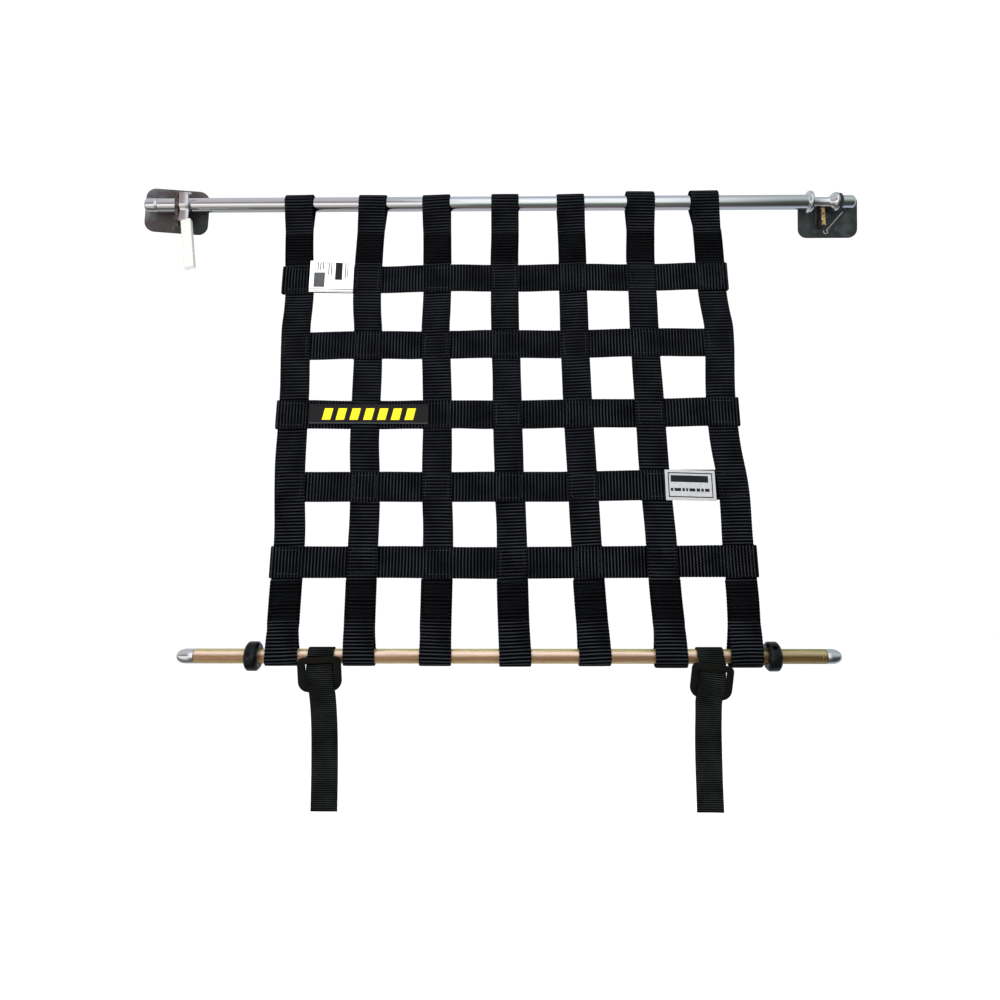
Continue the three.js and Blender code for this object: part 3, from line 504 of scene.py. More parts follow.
def loop_over(rod_z, hugging, slack, away, from_depth, to_depth):
    """Points of a loop over a rod, between two straight runs that leave towards the height `away`.
    A loop with slack stands off the rod on its far side and at the back, and hugs it in front."""
    up = 1 if away < rod_z else -1
    turn = up if from_depth > to_depth else -up
    radius = hugging + slack / 2
    centre_z, centre_y = rod_z + up * slack / 2, slack * 0.37

    def tangent(depth, side):
        run = math.hypot(depth - centre_y, away - centre_z)
        return math.atan2(away - centre_z, depth - centre_y) + side * math.acos(radius / run)

    start = tangent(from_depth, turn)
    stop = tangent(to_depth, -turn)
    while (stop - start) * turn <= 0:
        stop += turn * 2 * math.pi
    while (stop - start) * turn > 2 * math.pi:
        stop -= turn * 2 * math.pi
    angles = np.linspace(start, stop, LOOP_STEPS + 1)
    return [(centre_z + radius * math.sin(a), centre_y + radius * math.cos(a)) for a in angles]


def ease(from_along, to_along, from_depth, to_depth, steps=14):
    """Points of a soft S from one depth to another, as (along, depth)."""
    share = np.linspace(0, 1, steps + 1)
    eased = (1 - np.cos(np.pi * share)) / 2
    along = from_along + (to_along - from_along) * share
    return list(zip(along, from_depth + (to_depth - from_depth) * eased))


def vertical_depth(column, row):
    """Depth of a vertical strap at a crossing: in front of the row or behind it."""
    return -WEAVE_DEPTH if (column + row) % 2 else WEAVE_DEPTH


def resample(points, step):
    """Even points along a path. Each row of `points` is along, depth and any further values."""
    points = np.asarray(points, float)
    keep = np.r_[True, np.hypot(*np.diff(points[:, :2], axis=0).T) > 1e-6]
    points = points[keep]
    length = np.r_[0, np.cumsum(np.hypot(*np.diff(points[:, :2], axis=0).T))]
    count = int(length[-1] / step)
    at = np.linspace(0, length[-1], count + 1)
    return at, np.stack([np.interp(at, length, points[:, k]) for k in range(points.shape[1])], 1)


def uneven(seed, at, reach, size):
    """A slow, repeatable wander of about `size`, with waves some `reach` mm long."""
    numbers = np.random.default_rng(seed)
    total = np.zeros_like(at)
    for k in range(4):
        total += numbers.uniform(0.4, 1.0) * np.sin(2 * np.pi * at / (reach * numbers.uniform(0.6, 1.7))
                                                    + numbers.uniform(0, 2 * np.pi))
    return size * total / 2.5


def ribbed_strap(name, path, middle, width, thick, vertical, key, replaces, pressed=None, slope=None,
                 pitch=None, height=None, seed=1):
    """A woven strap with real cross ribs, swept along a path. Returns the object and its flat length."""
    pitch = pitch or settings().rib_pitch * 1000
    height = height if height is not None else settings().rib_height * 1000
    at, run = resample(path, pitch / 4)
    along, depth = run[:, 0], run[:, 1]
    extra = run[:, 2] if run.shape[1] > 2 else np.zeros(len(at))
    centre = middle(along, extra)
    tangent = np.stack([np.gradient(along), np.gradient(depth)], 1)
    tangent /= np.linalg.norm(tangent, axis=1)[:, None]
    flat = np.zeros(len(at)) if pressed is None else pressed(along, extra)
    phase = (at / pitch) % 1.0
    rib = np.sin(np.pi * phase) ** 0.7
    low = height * (1 - 0.75 * flat)
    half = width / 2 + uneven(seed + 50, at, 60, 0.12)
    lean = (slope(along, extra) if slope is not None else np.zeros(len(at))) + uneven(seed, at, 45, 0.012)
    bow = uneven(seed + 9, at, 70, 0.35)
    # Section: place across as a share of the half width, and how far out the face lies there.
    face = [(-1.0, 0.0), (-0.985, 0.55), (-0.94, 0.93), (-0.62, 1.0), (-0.3, 1.0), (0.0, 1.0),
            (0.3, 1.0), (0.62, 1.0), (0.94, 0.93), (0.985, 0.55), (1.0, 0.0)]
    section = face + [(a, -o) for a, o in face[-2:0:-1]]
    n = len(section)
    rows = len(at)
    points = np.zeros((rows, n, 3))
    uv = np.zeros((rows, n, 2))
    for j, (a, o) in enumerate(section):
        edge = 0.45 * (rib - 0.5) if abs(a) > 0.95 else 0.0
        across = a * half + np.sign(a) * edge
        raised = low * rib if abs(o) > 0.9 else 0.6 * low * rib * abs(o)
        off = np.sign(o) * (abs(o) * (thick / 2 - low) + raised)
        shift = lean * across + bow * (a * a - 0.5)
        here = along - tangent[:, 1] * off + shift * np.abs(tangent[:, 0])
        deep = depth + tangent[:, 0] * off
        side = centre + across
        order = (side, deep, here) if vertical else (here, deep, side)
        points[:, j] = np.stack(order, 1)
        uv[:, j, 0] = at + pitch / 2
        uv[:, j, 1] = across + (60 if o < 0 else 0)
    i, j = np.meshgrid(np.arange(rows - 1), np.arange(n), indexing="ij")
    a = i * n + j
    b = i * n + (j + 1) % n
    faces = np.stack([a, b, b + n, a + n], -1).reshape(-1, 4)
    flip = signed_volume(points.reshape(-1, 3), faces) < 0
    faces = faces[:, ::-1] if flip else faces
    first = list(range(n))
    last = list(range((rows - 1) * n, rows * n))
    caps = [first, last[::-1]] if flip else [first[::-1], last]
    made = piece(name, points.reshape(-1, 3), faces.tolist() + caps, [key], replaces,
                 uv=uv.reshape(-1, 2), pressed=np.repeat(flat, n))
    return made, at[-1]


def signed_volume(points, quads):
    """Above zero, up to a factor, where the quads face outwards."""
    a, b, c, d = (points[quads[:, k]] for k in range(4))
    halves = (np.einsum("ij,ij->i", a, np.cross(*pair)).sum() for pair in ((b, c), (c, d)))
    return float(sum(halves))


def stitched(name, centres, ways, outs, length, width, height, key="thread"):
    """Many stitches as one mesh: each a small, closed, flattened bead of thread."""
    centres, ways, outs = (np.asarray(v, float) for v in (centres, ways, outs))
    length = np.broadcast_to(length, len(centres))[:, None, None]
    sides = np.cross(outs, ways)
    corners = 6
    around = np.linspace(0, 2 * np.pi, corners, endpoint=False)
    template = [(-0.5, 0.0, 0.0)]
    for t, r in ((-0.36, 0.75), (0.0, 1.0), (0.36, 0.75)):
        template += [(t, r * math.cos(a), r * math.sin(a)) for a in around]
    template.append((0.5, 0.0, 0.0))
    template = np.array(template)
    points = (centres[:, None] + ways[:, None] * template[None, :, :1] * length
              + sides[:, None] * template[None, :, 1:2] * width / 2
              + outs[:, None] * template[None, :, 2:] * height / 2)
    faces = []
    first, last = 1, len(template) - 1
    for k in range(corners):
        after = (k + 1) % corners
        faces.append([0, first + after, first + k])
        for ring in (first, first + corners):
            faces.append([ring + k, ring + after, ring + corners + after])
            faces.append([ring + k, ring + corners + after, ring + corners + k])
        faces.append([last - corners + k, last - corners + after, last])
    faces = np.array(faces)
    every = (faces[None] + (np.arange(len(centres)) * len(template))[:, None, None]).reshape(-1, 3)
    return piece(name, points.reshape(-1, 3), every.tolist(), [key])


def turned(name, profile, z, key, replaces=(), around=96):
    """A lathe-turned piece round a level axis at height z. The profile is (x, radius) pairs."""
    angles = np.linspace(0, 2 * np.pi, around, endpoint=False)
    points, rings = [], []
    for x, r in profile:
        if r == 0:
            rings.append([len(points)] * around)
            points.append((x, 0, z))
        else:
            rings.append(list(range(len(points), len(points) + around)))
            points += [(x, r * math.cos(a), z + r * math.sin(a)) for a in angles]
    faces = []
    for left, right in zip(rings, rings[1:]):
        for k in range(around):
            after = (k + 1) % around
            quad = [left[k], right[k], right[after], left[after]]
            face = [v for n, v in enumerate(quad) if v not in quad[:n]]
            if len(face) > 2:
                faces.append(face)
    made = piece(name, points, faces, [key], replaces, sharp_degrees=32)
    face_outwards(made.data)
    return made


def face_outwards(mesh):
    """Welds points that lie together and turns all faces outwards."""
    work = bmesh.new()
    work.from_mesh(mesh)
    bmesh.ops.remove_doubles(work, verts=work.verts, dist=2e-7)
    bmesh.ops.recalc_face_normals(work, faces=work.faces)
    work.to_mesh(mesh)
    work.free()


def cut_plate(name, outlines, thick, round_over, place, key, replaces=()):
    """A flat plate from closed outlines (the first is its edge, the rest are holes), with rounded
    rims. `place` is a 4x4 matrix from plate (x, y, thickness) to net millimetres."""
    curve = bpy.data.curves.new(name, "CURVE")
    curve.dimensions = "2D"
    curve.fill_mode = "BOTH"
    curve.extrude = thick / 2 - round_over
    curve.bevel_depth = round_over
    curve.bevel_resolution = 2
    curve.offset = -round_over
    for outline in outlines:
        spline = curve.splines.new("POLY")
        spline.points.add(len(outline) - 1)
        spline.points.foreach_set("co", [v for x, y in outline for v in (x, y, 0.0, 1.0)])
        spline.use_cyclic_u = True
    holder = bpy.data.objects.new(name + "_outline", curve)
    bpy.context.scene.collection.objects.link(holder)
    bpy.context.view_layer.update()
    mesh = bpy.data.meshes.new_from_object(holder.evaluated_get(bpy.context.evaluated_depsgraph_get()))
    bpy.data.objects.remove(holder)
    bpy.data.curves.remove(curve)
    points = np.zeros(len(mesh.vertices) * 3)
    mesh.vertices.foreach_get("co", points)
    points = points.reshape(-1, 3)
    faces = [list(p.vertices) for p in mesh.polygons]
    bpy.data.meshes.remove(mesh)
    place = np.array(place)
    points = points @ place[:3, :3].T + place[:3, 3]
    made = piece(name, points, faces, [key], replaces)
    face_outwards(made.data)
    made.data.set_sharp_from_angle(angle=math.radians(40))
    return made


def rounded_rectangle(width, height, high, low, cy=0.0, steps=8):
    """Outline with one radius for its upper corners and one for its lower ones."""
    points = []
    for k, (sx, sy, r) in enumerate(((1, -1, low), (1, 1, high), (-1, 1, high), (-1, -1, low))):
        for i in range(steps + 1):
            a = -math.pi / 2 + k * math.pi / 2 + i / steps * math.pi / 2
            points.append((sx * (width / 2 - r) + r * math.cos(a),
                           cy + sy * (height / 2 - r) + r * math.sin(a)))
    return points


def upright(front, thick, turn, x, z):
    """Places a bracket's plate: turned in its plane, then leant with its top to the front."""
    stand = Matrix.Rotation(math.radians(90), 4, "X")
    into = Matrix.Translation((x, front + thick / 2, z))
    spin = Matrix.Rotation(math.radians(turn), 4, "Y")
    tip = Matrix.Rotation(math.radians(PLATE_LEAN), 4, "X")
    return Matrix.Translation((0, 0, UPPER_ROD_Z)) @ tip @ into @ spin @ stand


def standing(x, y, z, turn, tilt):
    """Places an upright plate: turned in its plane, then tilted back, both in degrees."""
    turned_in_plane, tilted_back, stood_up = (
        Matrix.Rotation(math.radians(degrees), 4, axis)
        for degrees, axis in ((turn, "Y"), (tilt, "X"), (90, "X")))
    return Matrix.Translation((x, y, z)) @ turned_in_plane @ tilted_back @ stood_up


def edgewise(left, right, lean=0.0):
    """Places an outline drawn as (depth, height) from the upper rod's axis, its thickness along x."""
    turn = Matrix(((0, 0, 1, (left + right) / 2), (1, 0, 0, 0), (0, 1, 0, 0), (0, 0, 0, 1)))
    return Matrix.Translation((0, 0, UPPER_ROD_Z)) @ Matrix.Rotation(math.radians(lean), 4, "X") @ turn


def arc(radius, start, stop, steps):
    """Points of an arc round the origin, its angles in radians."""
    return [(radius * math.cos(a), radius * math.sin(a)) for a in np.linspace(start, stop, steps + 1)]


def merged(name, pieces, replaces):
    """Joins pieces into one object that stands for the CAD node."""
    for other in pieces[1:]:
        for m in other.data.materials:
            if m.name not in [k.name for k in pieces[0].data.materials]:
                pieces[0].data.materials.append(m)
    work = bmesh.new()
    slots = [m.name for m in pieces[0].data.materials]
    for other in pieces:
        before = len(work.faces)
        work.from_mesh(other.data)
        work.faces.ensure_lookup_table()
        lookup = [slots.index(m.name) for m in other.data.materials]
        for face in work.faces[before:]:
            face.material_index = lookup[face.material_index]
    mesh = bpy.data.meshes.new(name)
    work.to_mesh(mesh)
    work.free()
    for m in pieces[0].data.materials:
        mesh.materials.append(m)
    for other in pieces:
        bpy.data.objects.remove(other)
    made = bpy.data.objects.new(name, mesh)
    bpy.context.scene.collection.objects.link(made)
    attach(made, "root")
    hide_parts(*replaces)
    return made


def drilled(target, cutter_points, radius, direction, depth):
    """Drills a plain hole into a piece. The cutter is removed afterwards."""
    work = bmesh.new()
    bmesh.ops.create_cone(work, cap_ends=True, segments=32, radius1=radius / 1000, radius2=radius / 1000,
                          depth=depth / 1000)
    turn = Vector(direction).to_track_quat("Z", "Y").to_matrix().to_4x4()
    work.transform(Matrix.Translation(Vector(to_frame(cutter_points))) @ turn)
    mesh = bpy.data.meshes.new("cutter")
    work.to_mesh(mesh)
    work.free()
    cutter = bpy.data.objects.new("cutter", mesh)
    bpy.context.scene.collection.objects.link(cutter)
    step = target.modifiers.new("hole", "BOOLEAN")
    step.operation = "DIFFERENCE"
    step.object = cutter
    step.solver = "EXACT"
    bpy.context.view_layer.update()
    result = bpy.data.meshes.new_from_object(target.evaluated_get(bpy.context.evaluated_depsgraph_get()))
    target.modifiers.clear()
    target.data = result
    bpy.data.objects.remove(cutter)
    result.set_sharp_from_angle(angle=math.radians(32))


# The net's straps.

def vertical_path(column):
    """Path of a vertical strap as (along, depth, shift sideways), from its upper tail to its lower one."""
    sizes = VERTICALS[column - 1]
    top, bottom = vertical_depth(column, 1), vertical_depth(column, 5)
    clear = LOOP_GAP + STRAP_THICK / 2
    (high_tail, low_tail), (high_slack, low_slack) = sizes["tails"], sizes["slack"]
    share = np.linspace(0, 1, LOOP_STEPS + 1)
    path = [(TOP_SEAM[1], top + TAIL_STEP, high_tail), (TOP_SEAM[0], top + TAIL_STEP, high_tail)]
    upper = loop_over(UPPER_ROD_Z, UPPER_RADIUS + clear, high_slack, TOP_SEAM[0], top + TAIL_STEP, top)
    path += [(a, d, high_tail * (1 - t)) for t, (a, d) in zip(share, upper)]
    path += [(TOP_SEAM[0], top, 0.0)]
    for row in range(1, 5):
        path += [(a, d, 0.0) for a, d in ease(ROW_Z[row - 1] - FLAT_HALF, ROW_Z[row] + FLAT_HALF,
                                              vertical_depth(column, row), vertical_depth(column, row + 1))]
    path += [(BOTTOM_SEAM[1], bottom, 0.0)]
    lower = loop_over(LOWER_ROD_Z, LOWER_RADIUS + clear, low_slack, BOTTOM_SEAM[1], bottom,
                      bottom + TAIL_STEP)
    path += [(a, d, low_tail * t) for t, (a, d) in zip(share, lower)]
    path += [(BOTTOM_SEAM[1], bottom + TAIL_STEP, low_tail), (BOTTOM_SEAM[0], bottom + TAIL_STEP, low_tail)]
    return path


def strap_middle(column, along):
    """Middle of a vertical strap across the net, at a height."""
    return smooth_table(LEVELS, VERTICALS[column - 1]["x"], along)


def pressed_at_seams(along, extra):
    """1 where the sewing presses the ribs flat, easing to 0 over 2 mm."""
    upper, lower = (np.clip((along - low) / 2, 0, 1) * np.clip((high - along) / 2, 0, 1)
                    for low, high in ((143.0, 175.0), (-177.5, -144.0)))
    return np.maximum(upper, lower)


def row_height(row, along):
    """Height of a level strap's middle, at a place across the net."""
    return smooth_table(STATIONS, HORIZONTALS[row - 1]["z"], along)


def outer_edge(column, row, side):
    """How far out an outer strap's edge reaches beside a row."""
    heights = ROW_Z[row - 1] + np.arange(-14, 15, 2.0)
    edges = np.interp(heights, LEVELS[::-1], VERTICALS[column - 1]["x"][::-1])
    edges = edges + side * VERTICALS[column - 1]["width"] / 2
    return edges.min() if side < 0 else edges.max()


def fold_points(edge, side):
    """Points of a level strap's fold round an outer strap's edge, from the back to the front."""
    centre = edge + side * 0.2
    quarters = ((WEAVE_DEPTH + TAIL_STEP - FOLD_RADIUS, math.pi / 2, 0),
                (-WEAVE_DEPTH + FOLD_RADIUS, 0, -math.pi / 2))
    return [(centre + side * FOLD_RADIUS * math.cos(a), depth + FOLD_RADIUS * math.sin(a))
            for depth, start, stop in quarters for a in np.linspace(start, stop, 7)]


def level_path(row):
    """Path of a level strap as (along, depth), from left to right."""
    middles = [float(np.interp(ROW_Z[row - 1], LEVELS[::-1], v["x"][::-1])) for v in VERTICALS]
    path = []
    if row % 2:
        path += [(middles[0] + TURNED_BACK, WEAVE_DEPTH + TAIL_STEP)]
        path += fold_points(outer_edge(1, row, -1), -1)
    else:
        path += [(middles[0] - VERTICALS[0]["width"] / 2 + 0.6, WEAVE_DEPTH)]
    for column in range(1, 7):
        path += ease(middles[column - 1] + FLAT_HALF, middles[column] - FLAT_HALF,
                     -vertical_depth(column, row), -vertical_depth(column + 1, row))
    if row % 2:
        path += fold_points(outer_edge(7, row, 1), 1)[::-1]
        path += [(middles[6] - TURNED_BACK, WEAVE_DEPTH + TAIL_STEP)]
    else:
        path += [(middles[6] + VERTICALS[6]["width"] / 2 - 0.6, WEAVE_DEPTH)]
    return path


def row_depth(row, x):
    """Depth of a level strap's middle at x, away from its folded ends."""
    path = [p for p in level_path(row) if p[1] <= WEAVE_DEPTH + 0.001]
    along = [p[0] for p in path]
    order = np.argsort(along, kind="stable")
    return np.interp(x, np.array(along)[order], np.array([p[1] for p in path])[order])


class WINDOWNET_OT_vertical_straps(bpy.types.Operator):
    """Weaves the straps that loop over both rods"""

    bl_idname = "window_net.vertical_straps"
    bl_label = "Vertical straps"

    def execute(self, context):
        rods = [LOWER_ROD_Z, UPPER_ROD_Z]
        for column, sizes in enumerate(VERTICALS, 1):
            made, length = ribbed_strap(
                f"webbing_v{column}", vertical_path(column),
                lambda along, shift, c=column: strap_middle(c, along) + shift,
                sizes["width"], STRAP_THICK, True, "webbing", (f"strap_v{column}",),
                pressed=pressed_at_seams, seed=column,
                slope=lambda along, shift, s=sizes["slant"]: np.interp(along, rods, s[::-1]))
        return {"FINISHED"}


class WINDOWNET_OT_level_straps(bpy.types.Operator):
    """Weaves the straps that run across the net"""

    bl_idname = "window_net.level_straps"
    bl_label = "Level straps"

    def execute(self, context):
        for row, sizes in enumerate(HORIZONTALS, 1):
            made, length = ribbed_strap(
                f"webbing_h{row}", level_path(row), lambda along, extra, r=row: row_height(r, along),
                sizes["width"], STRAP_THICK, False, "webbing", (f"strap_h{row}",), seed=20 + row)
        return {"FINISHED"}


class WINDOWNET_OT_stitching(bpy.types.Operator):
    """Sews a box seam in every crossing and rows across the folded ends"""

    bl_idname = "window_net.stitching"
    bl_label = "Stitching"

    def execute(self, context):
        length = settings().stitch_length * 1000
        faces = (-1, 1) if settings().sewn_on_back else (-1,)
        numbers = np.random.default_rng(7)
        centres, ways, outs = [], [], []
        for row in range(1, 6):
            for column in range(1, 8):
                z = float(row_height(row, strap_middle(column, ROW_Z[row - 1])))
                x = float(strap_middle(column, z))
                wrapped = row % 2 == 1 and column in (1, 7)
                for face in faces:
                    depth = -BOX_DEPTH if face < 0 else (BOX_DEPTH_WRAPPED if wrapped else BOX_DEPTH)
                    corners = [(BOX_HALF * a, BOX_HALF * b) for a, b in ((-1, -1), (1, -1), (1, 1), (-1, 1))]
                    for k in range(4):
                        a, b = np.array(corners[k]), np.array(corners[(k + 1) % 4])
                        count = int(2 * BOX_HALF / length)
                        way = (b - a) / (2 * BOX_HALF)
                        for i in range(count):
                            p = a + way * (i + 0.5) * 2 * BOX_HALF / count + numbers.normal(0, 0.12, 2)
                            centres.append((x + p[0], depth, z + p[1]))
                            ways.append((way[0], 0, way[1]))
                            outs.append((0, face, 0))
        stitched("box_seams", centres, ways, outs, length * 0.86, 0.75, 0.55)
        centres, ways, outs = [], [], []
        for column in range(1, 8):
            for low, high, row in ((146.3, 173.0, 1), (-176.0, -146.3, 5)):
                depth = vertical_depth(column, row)
                for k in range(END_ROWS):
                    z = low + (high - low) * k / (END_ROWS - 1)
                    middle = float(strap_middle(column, z))
                    for i in range(END_STITCHES):
                        across = -10.6 + 21.2 * (i + 0.5 + 0.5 * (k % 2) * 0.8) / 12.2
                        lift = 0.5 if i % 2 else -0.5
                        for face in faces:
                            out = depth - END_DEPTH if face < 0 else depth + TAIL_STEP + END_DEPTH
                            centres.append((middle + across + numbers.normal(0, 0.08), out,
                                            z + lift * 0.5 + numbers.normal(0, 0.1)))
                            way = Vector((1, 0, 0.45 * (1 if i % 2 else -1))).normalized()
                            ways.append(tuple(way))
                            outs.append((0, face, 0))
        stitched("end_seams", centres, ways, outs, 1.5, 0.7, 0.5)
        return {"FINISHED"}


# Labels.

def tape_label(name, left, right, low, high, depth_at, lean, thick, base_key, prints, node_name):
    """A sewn tape label: a thin slab cut where its print changes. `prints` are (x share from, x share
    to, z share from, z share to, key), and `depth_at` gives its depth at each place across."""
    keys = [base_key] + sorted({p[4] for p in prints})
    xs = sorted({round(v, 5) for p in prints for v in p[:2]} | set(np.round(np.linspace(0, 1, 25), 5)))
    zs = sorted({round(v, 5) for p in prints for v in p[2:4]} | {0.0, 0.02, 0.98, 1.0})
    width, height = right - left, high - low
    nx, nz = len(xs), len(zs)
    points, uv = [], []
    for side in (-1, 1):
        for x in xs:
            for z in zs:
                along = left + width * x
                rim = 0.45 if x in (0.0, 1.0) or z in (0.0, 1.0) else 1.0
                points.append((along, depth_at(along) + side * rim * thick / 2,
                               low + height * z + lean * (along - (left + right) / 2)))
                uv.append((width * x, height * z))
    faces, used = [], []
    for s in (0, 1):
        for i in range(nx - 1):
            for j in range(nz - 1):
                a = s * nx * nz + i * nz + j
                quad = [a, a + nz, a + nz + 1, a + 1]
                faces.append(quad if s == 0 else quad[::-1])
                mx, mz = (xs[i] + xs[i + 1]) / 2, (zs[j] + zs[j + 1]) / 2
                key = base_key
                for p in prints:
                    if s == 0 and p[0] < mx < p[1] and p[2] < mz < p[3]:
                        key = p[4]
                used.append(keys.index(key))
    rim_loop = ([(i, 0) for i in range(nx)] + [(nx - 1, j) for j in range(1, nz)]
                + [(i, nz - 1) for i in range(nx - 2, -1, -1)] + [(0, j) for j in range(nz - 2, 0, -1)])
    for k, (i, j) in enumerate(rim_loop):
        m, n = rim_loop[(k + 1) % len(rim_loop)]
        a, b = i * nz + j, m * nz + n
        faces.append([b, a, a + nx * nz, b + nx * nz])
        used.append(0)
    made = piece(name, points, faces, keys, (node_name,), face_keys=used, uv=uv)
    made.data.set_sharp_from_angle(angle=math.radians(40))


class WINDOWNET_OT_labels(bpy.types.Operator):
    """Sews the tape labels on, with plain marks in place of lettering"""

    bl_idname = "window_net.labels"
    bl_label = "Labels"

    def execute(self, context):
        off = STRAP_THICK / 2 + GAP + 0.25
        # White tape: plain bars that stand for turned lines of text, and two printed lines below.
        bars = [(0.1, 0.35, 0.15, 0.62, "ink_grey"), (0.17, 0.195, 0.68, 0.96, "ink_grey"),
                (0.23, 0.255, 0.7, 0.96, "ink_grey"), (0.29, 0.315, 0.72, 0.96, "ink_grey"),
                (0.42, 0.445, 0.55, 0.95, "ink_grey"), (0.48, 0.505, 0.55, 0.95, "ink_grey"),
                (0.58, 0.74, 0.39, 0.95, "ink_black"), (0.8, 0.825, 0.45, 0.95, "ink_grey"),
                (0.85, 0.87, 0.5, 0.95, "ink_grey"), (0.0, 1.0, 0.075, 0.1, "ink_black"),
                (0.0, 1.0, 0.015, 0.035, "ink_black")]
        tape_label("sewn_label_white", -184.6, -144.2, 114.6, 145.6,
                   lambda x: row_depth(1, x) - off - 0.15, 0.0, 0.5, "tape_white", bars, "label_white")
        tape_label("sewn_label_black", -176.3, -71.6, -10.3, 7.4, lambda x: -WEAVE_DEPTH - off, -0.005, 0.5,
                           "tape_black", [(0.0, 1.0, 0.02, 0.05, "ink_grey")], "label_black")
        # Yellow marks woven in: a row of lozenges, a little proud of the tape.
        points, faces = [], []
        for k in range(7):
            cx, cz = -160.4 + 12.2 * k, -1.6 - 0.005 * (-160.4 + 12.2 * k + 124)
            w, h, slant = 3.7, 5.2, 1.2
            base = len(points)
            for grow, y in ((1.0, -2.42), (1.0, -2.56), (0.84, -2.66)):
                points += [(cx + a * w * grow + b * slant, y, cz + b * h * grow)
                           for a, b in ((-1, 1), (1, 1), (1, -1), (-1, -1))]
            for ring in (0, 4):
                for c in range(4):
                    faces.append([base + ring + c, base + ring + (c + 1) % 4,
                                  base + ring + 4 + (c + 1) % 4, base + ring + 4 + c])
            faces += [[base + 8, base + 9, base + 10, base + 11], [base + 3, base + 2, base + 1, base]]
        marks = piece("yellow_lozenges", points, faces, ["yarn_yellow"],
                      uv=[(p[0], p[2]) for p in points], smooth=False)
        face_outwards(marks.data)
        frame_bars = [(0.055, 0.945, 0.1, 0.135, "ink_black"), (0.055, 0.945, 0.88, 0.915, "ink_black"),
                      (0.055, 0.075, 0.1, 0.915, "ink_black"), (0.925, 0.945, 0.1, 0.915, "ink_black"),
                      (0.11, 0.86, 0.60, 0.82, "ink_black")]
        dash = 0.10
        for width in (0.05, 0.13, 0.05, 0.04, 0.12, 0.07, 0.05, 0.09):
            frame_bars.append((dash, dash + width, 0.30, 0.40, "ink_black"))
            dash += width + 0.025
        tape_label("sewn_label_silver", 134.2, 177.6, -78.2, -51.9,
                   lambda x: row_depth(4, x) - off - 0.15, -0.02, 0.5, "tape_silver", frame_bars,
                   "label_grey")
        # Seams that hold the labels down.
        centres, ways, outs = [], [], []
        x0, x1, depth = -175.0, -72.8, -2.56
        count = int((x1 - x0) / 2.6)
        for z in (6.3, -9.1):
            for i in range(count):
                x = x0 + (i + 0.5) * (x1 - x0) / count
                centres.append((x, depth, z - 0.005 * (x + 124)))
                ways.append((1, 0, 0))
                outs.append((0, -1, 0))
        stitched("label_seams", centres, ways, outs, 1.9, 0.5, 0.4)
        return {"FINISHED"}


# Rods and what sits on them.

class WINDOWNET_OT_upper_rod(bpy.types.Operator):
    """Turns the upper rod with its shoulders, end cap and ring"""

    bl_idname = "window_net.upper_rod"
    bl_label = "Upper rod"

    def execute(self, context):
        turned("bar_upper", [
            (-339, 0), (-339, 4.1), (-338.7, 4.4), (-334.1, 4.4), (-334.1, 6.5), (-333.95, 6.78),
            (-333.6, 6.9), (283.5, 6.9), (283.8, 7.3), (283.9, 9.7), (284.2, 10.3), (284.8, 10.65),
            (285.6, 10.7), (286.4, 10.65), (287.2, 10.3), (287.6, 9.7), (287.9, 5.2), (288.3, 4.6),
            (303.2, 4.6), (304.0, 4.85),
            (304.8, 5.35), (305.8, 6.4), (306.8, 7.6), (307.8, 8.5), (308.8, 9.1), (309.8, 9.3), (310.9, 9.3),
            (311.4, 9.1), (311.6, 8.7), (311.6, 5.6), (315.8, 5.6), (315.8, 6.2), (316.1, 6.4), (325.0, 6.4),
            (326.0, 6.2), (327.2, 5.5), (328.1, 4.4), (328.6, 2.8), (328.6, 0)],
            UPPER_ROD_Z, "zinc", ("rod_upper",))
        turned("bar_end_cap", [
            (-334.45, 4.75), (-334.45, 6.6), (-334.6, 6.82), (-334.9, 6.9), (-344.0, 6.9), (-345.2, 6.6),
            (-346.3, 5.8), (-347.0, 4.4), (-347.3, 2.6), (-347.3, 0), (-339.4, 0), (-339.4, 4.75),
            (-334.45, 4.75)],
            UPPER_ROD_Z, "zinc", ("rod_upper_cap",))
        ring = [(313.7 + 1.66 * math.cos(a), 7.28 + 1.3 * math.sin(a))
                for a in np.linspace(0, 2 * math.pi, 17)]
        turned("seal_ring", ring, UPPER_ROD_Z, "nitrile", ("retaining_ring",))
        return {"FINISHED"}


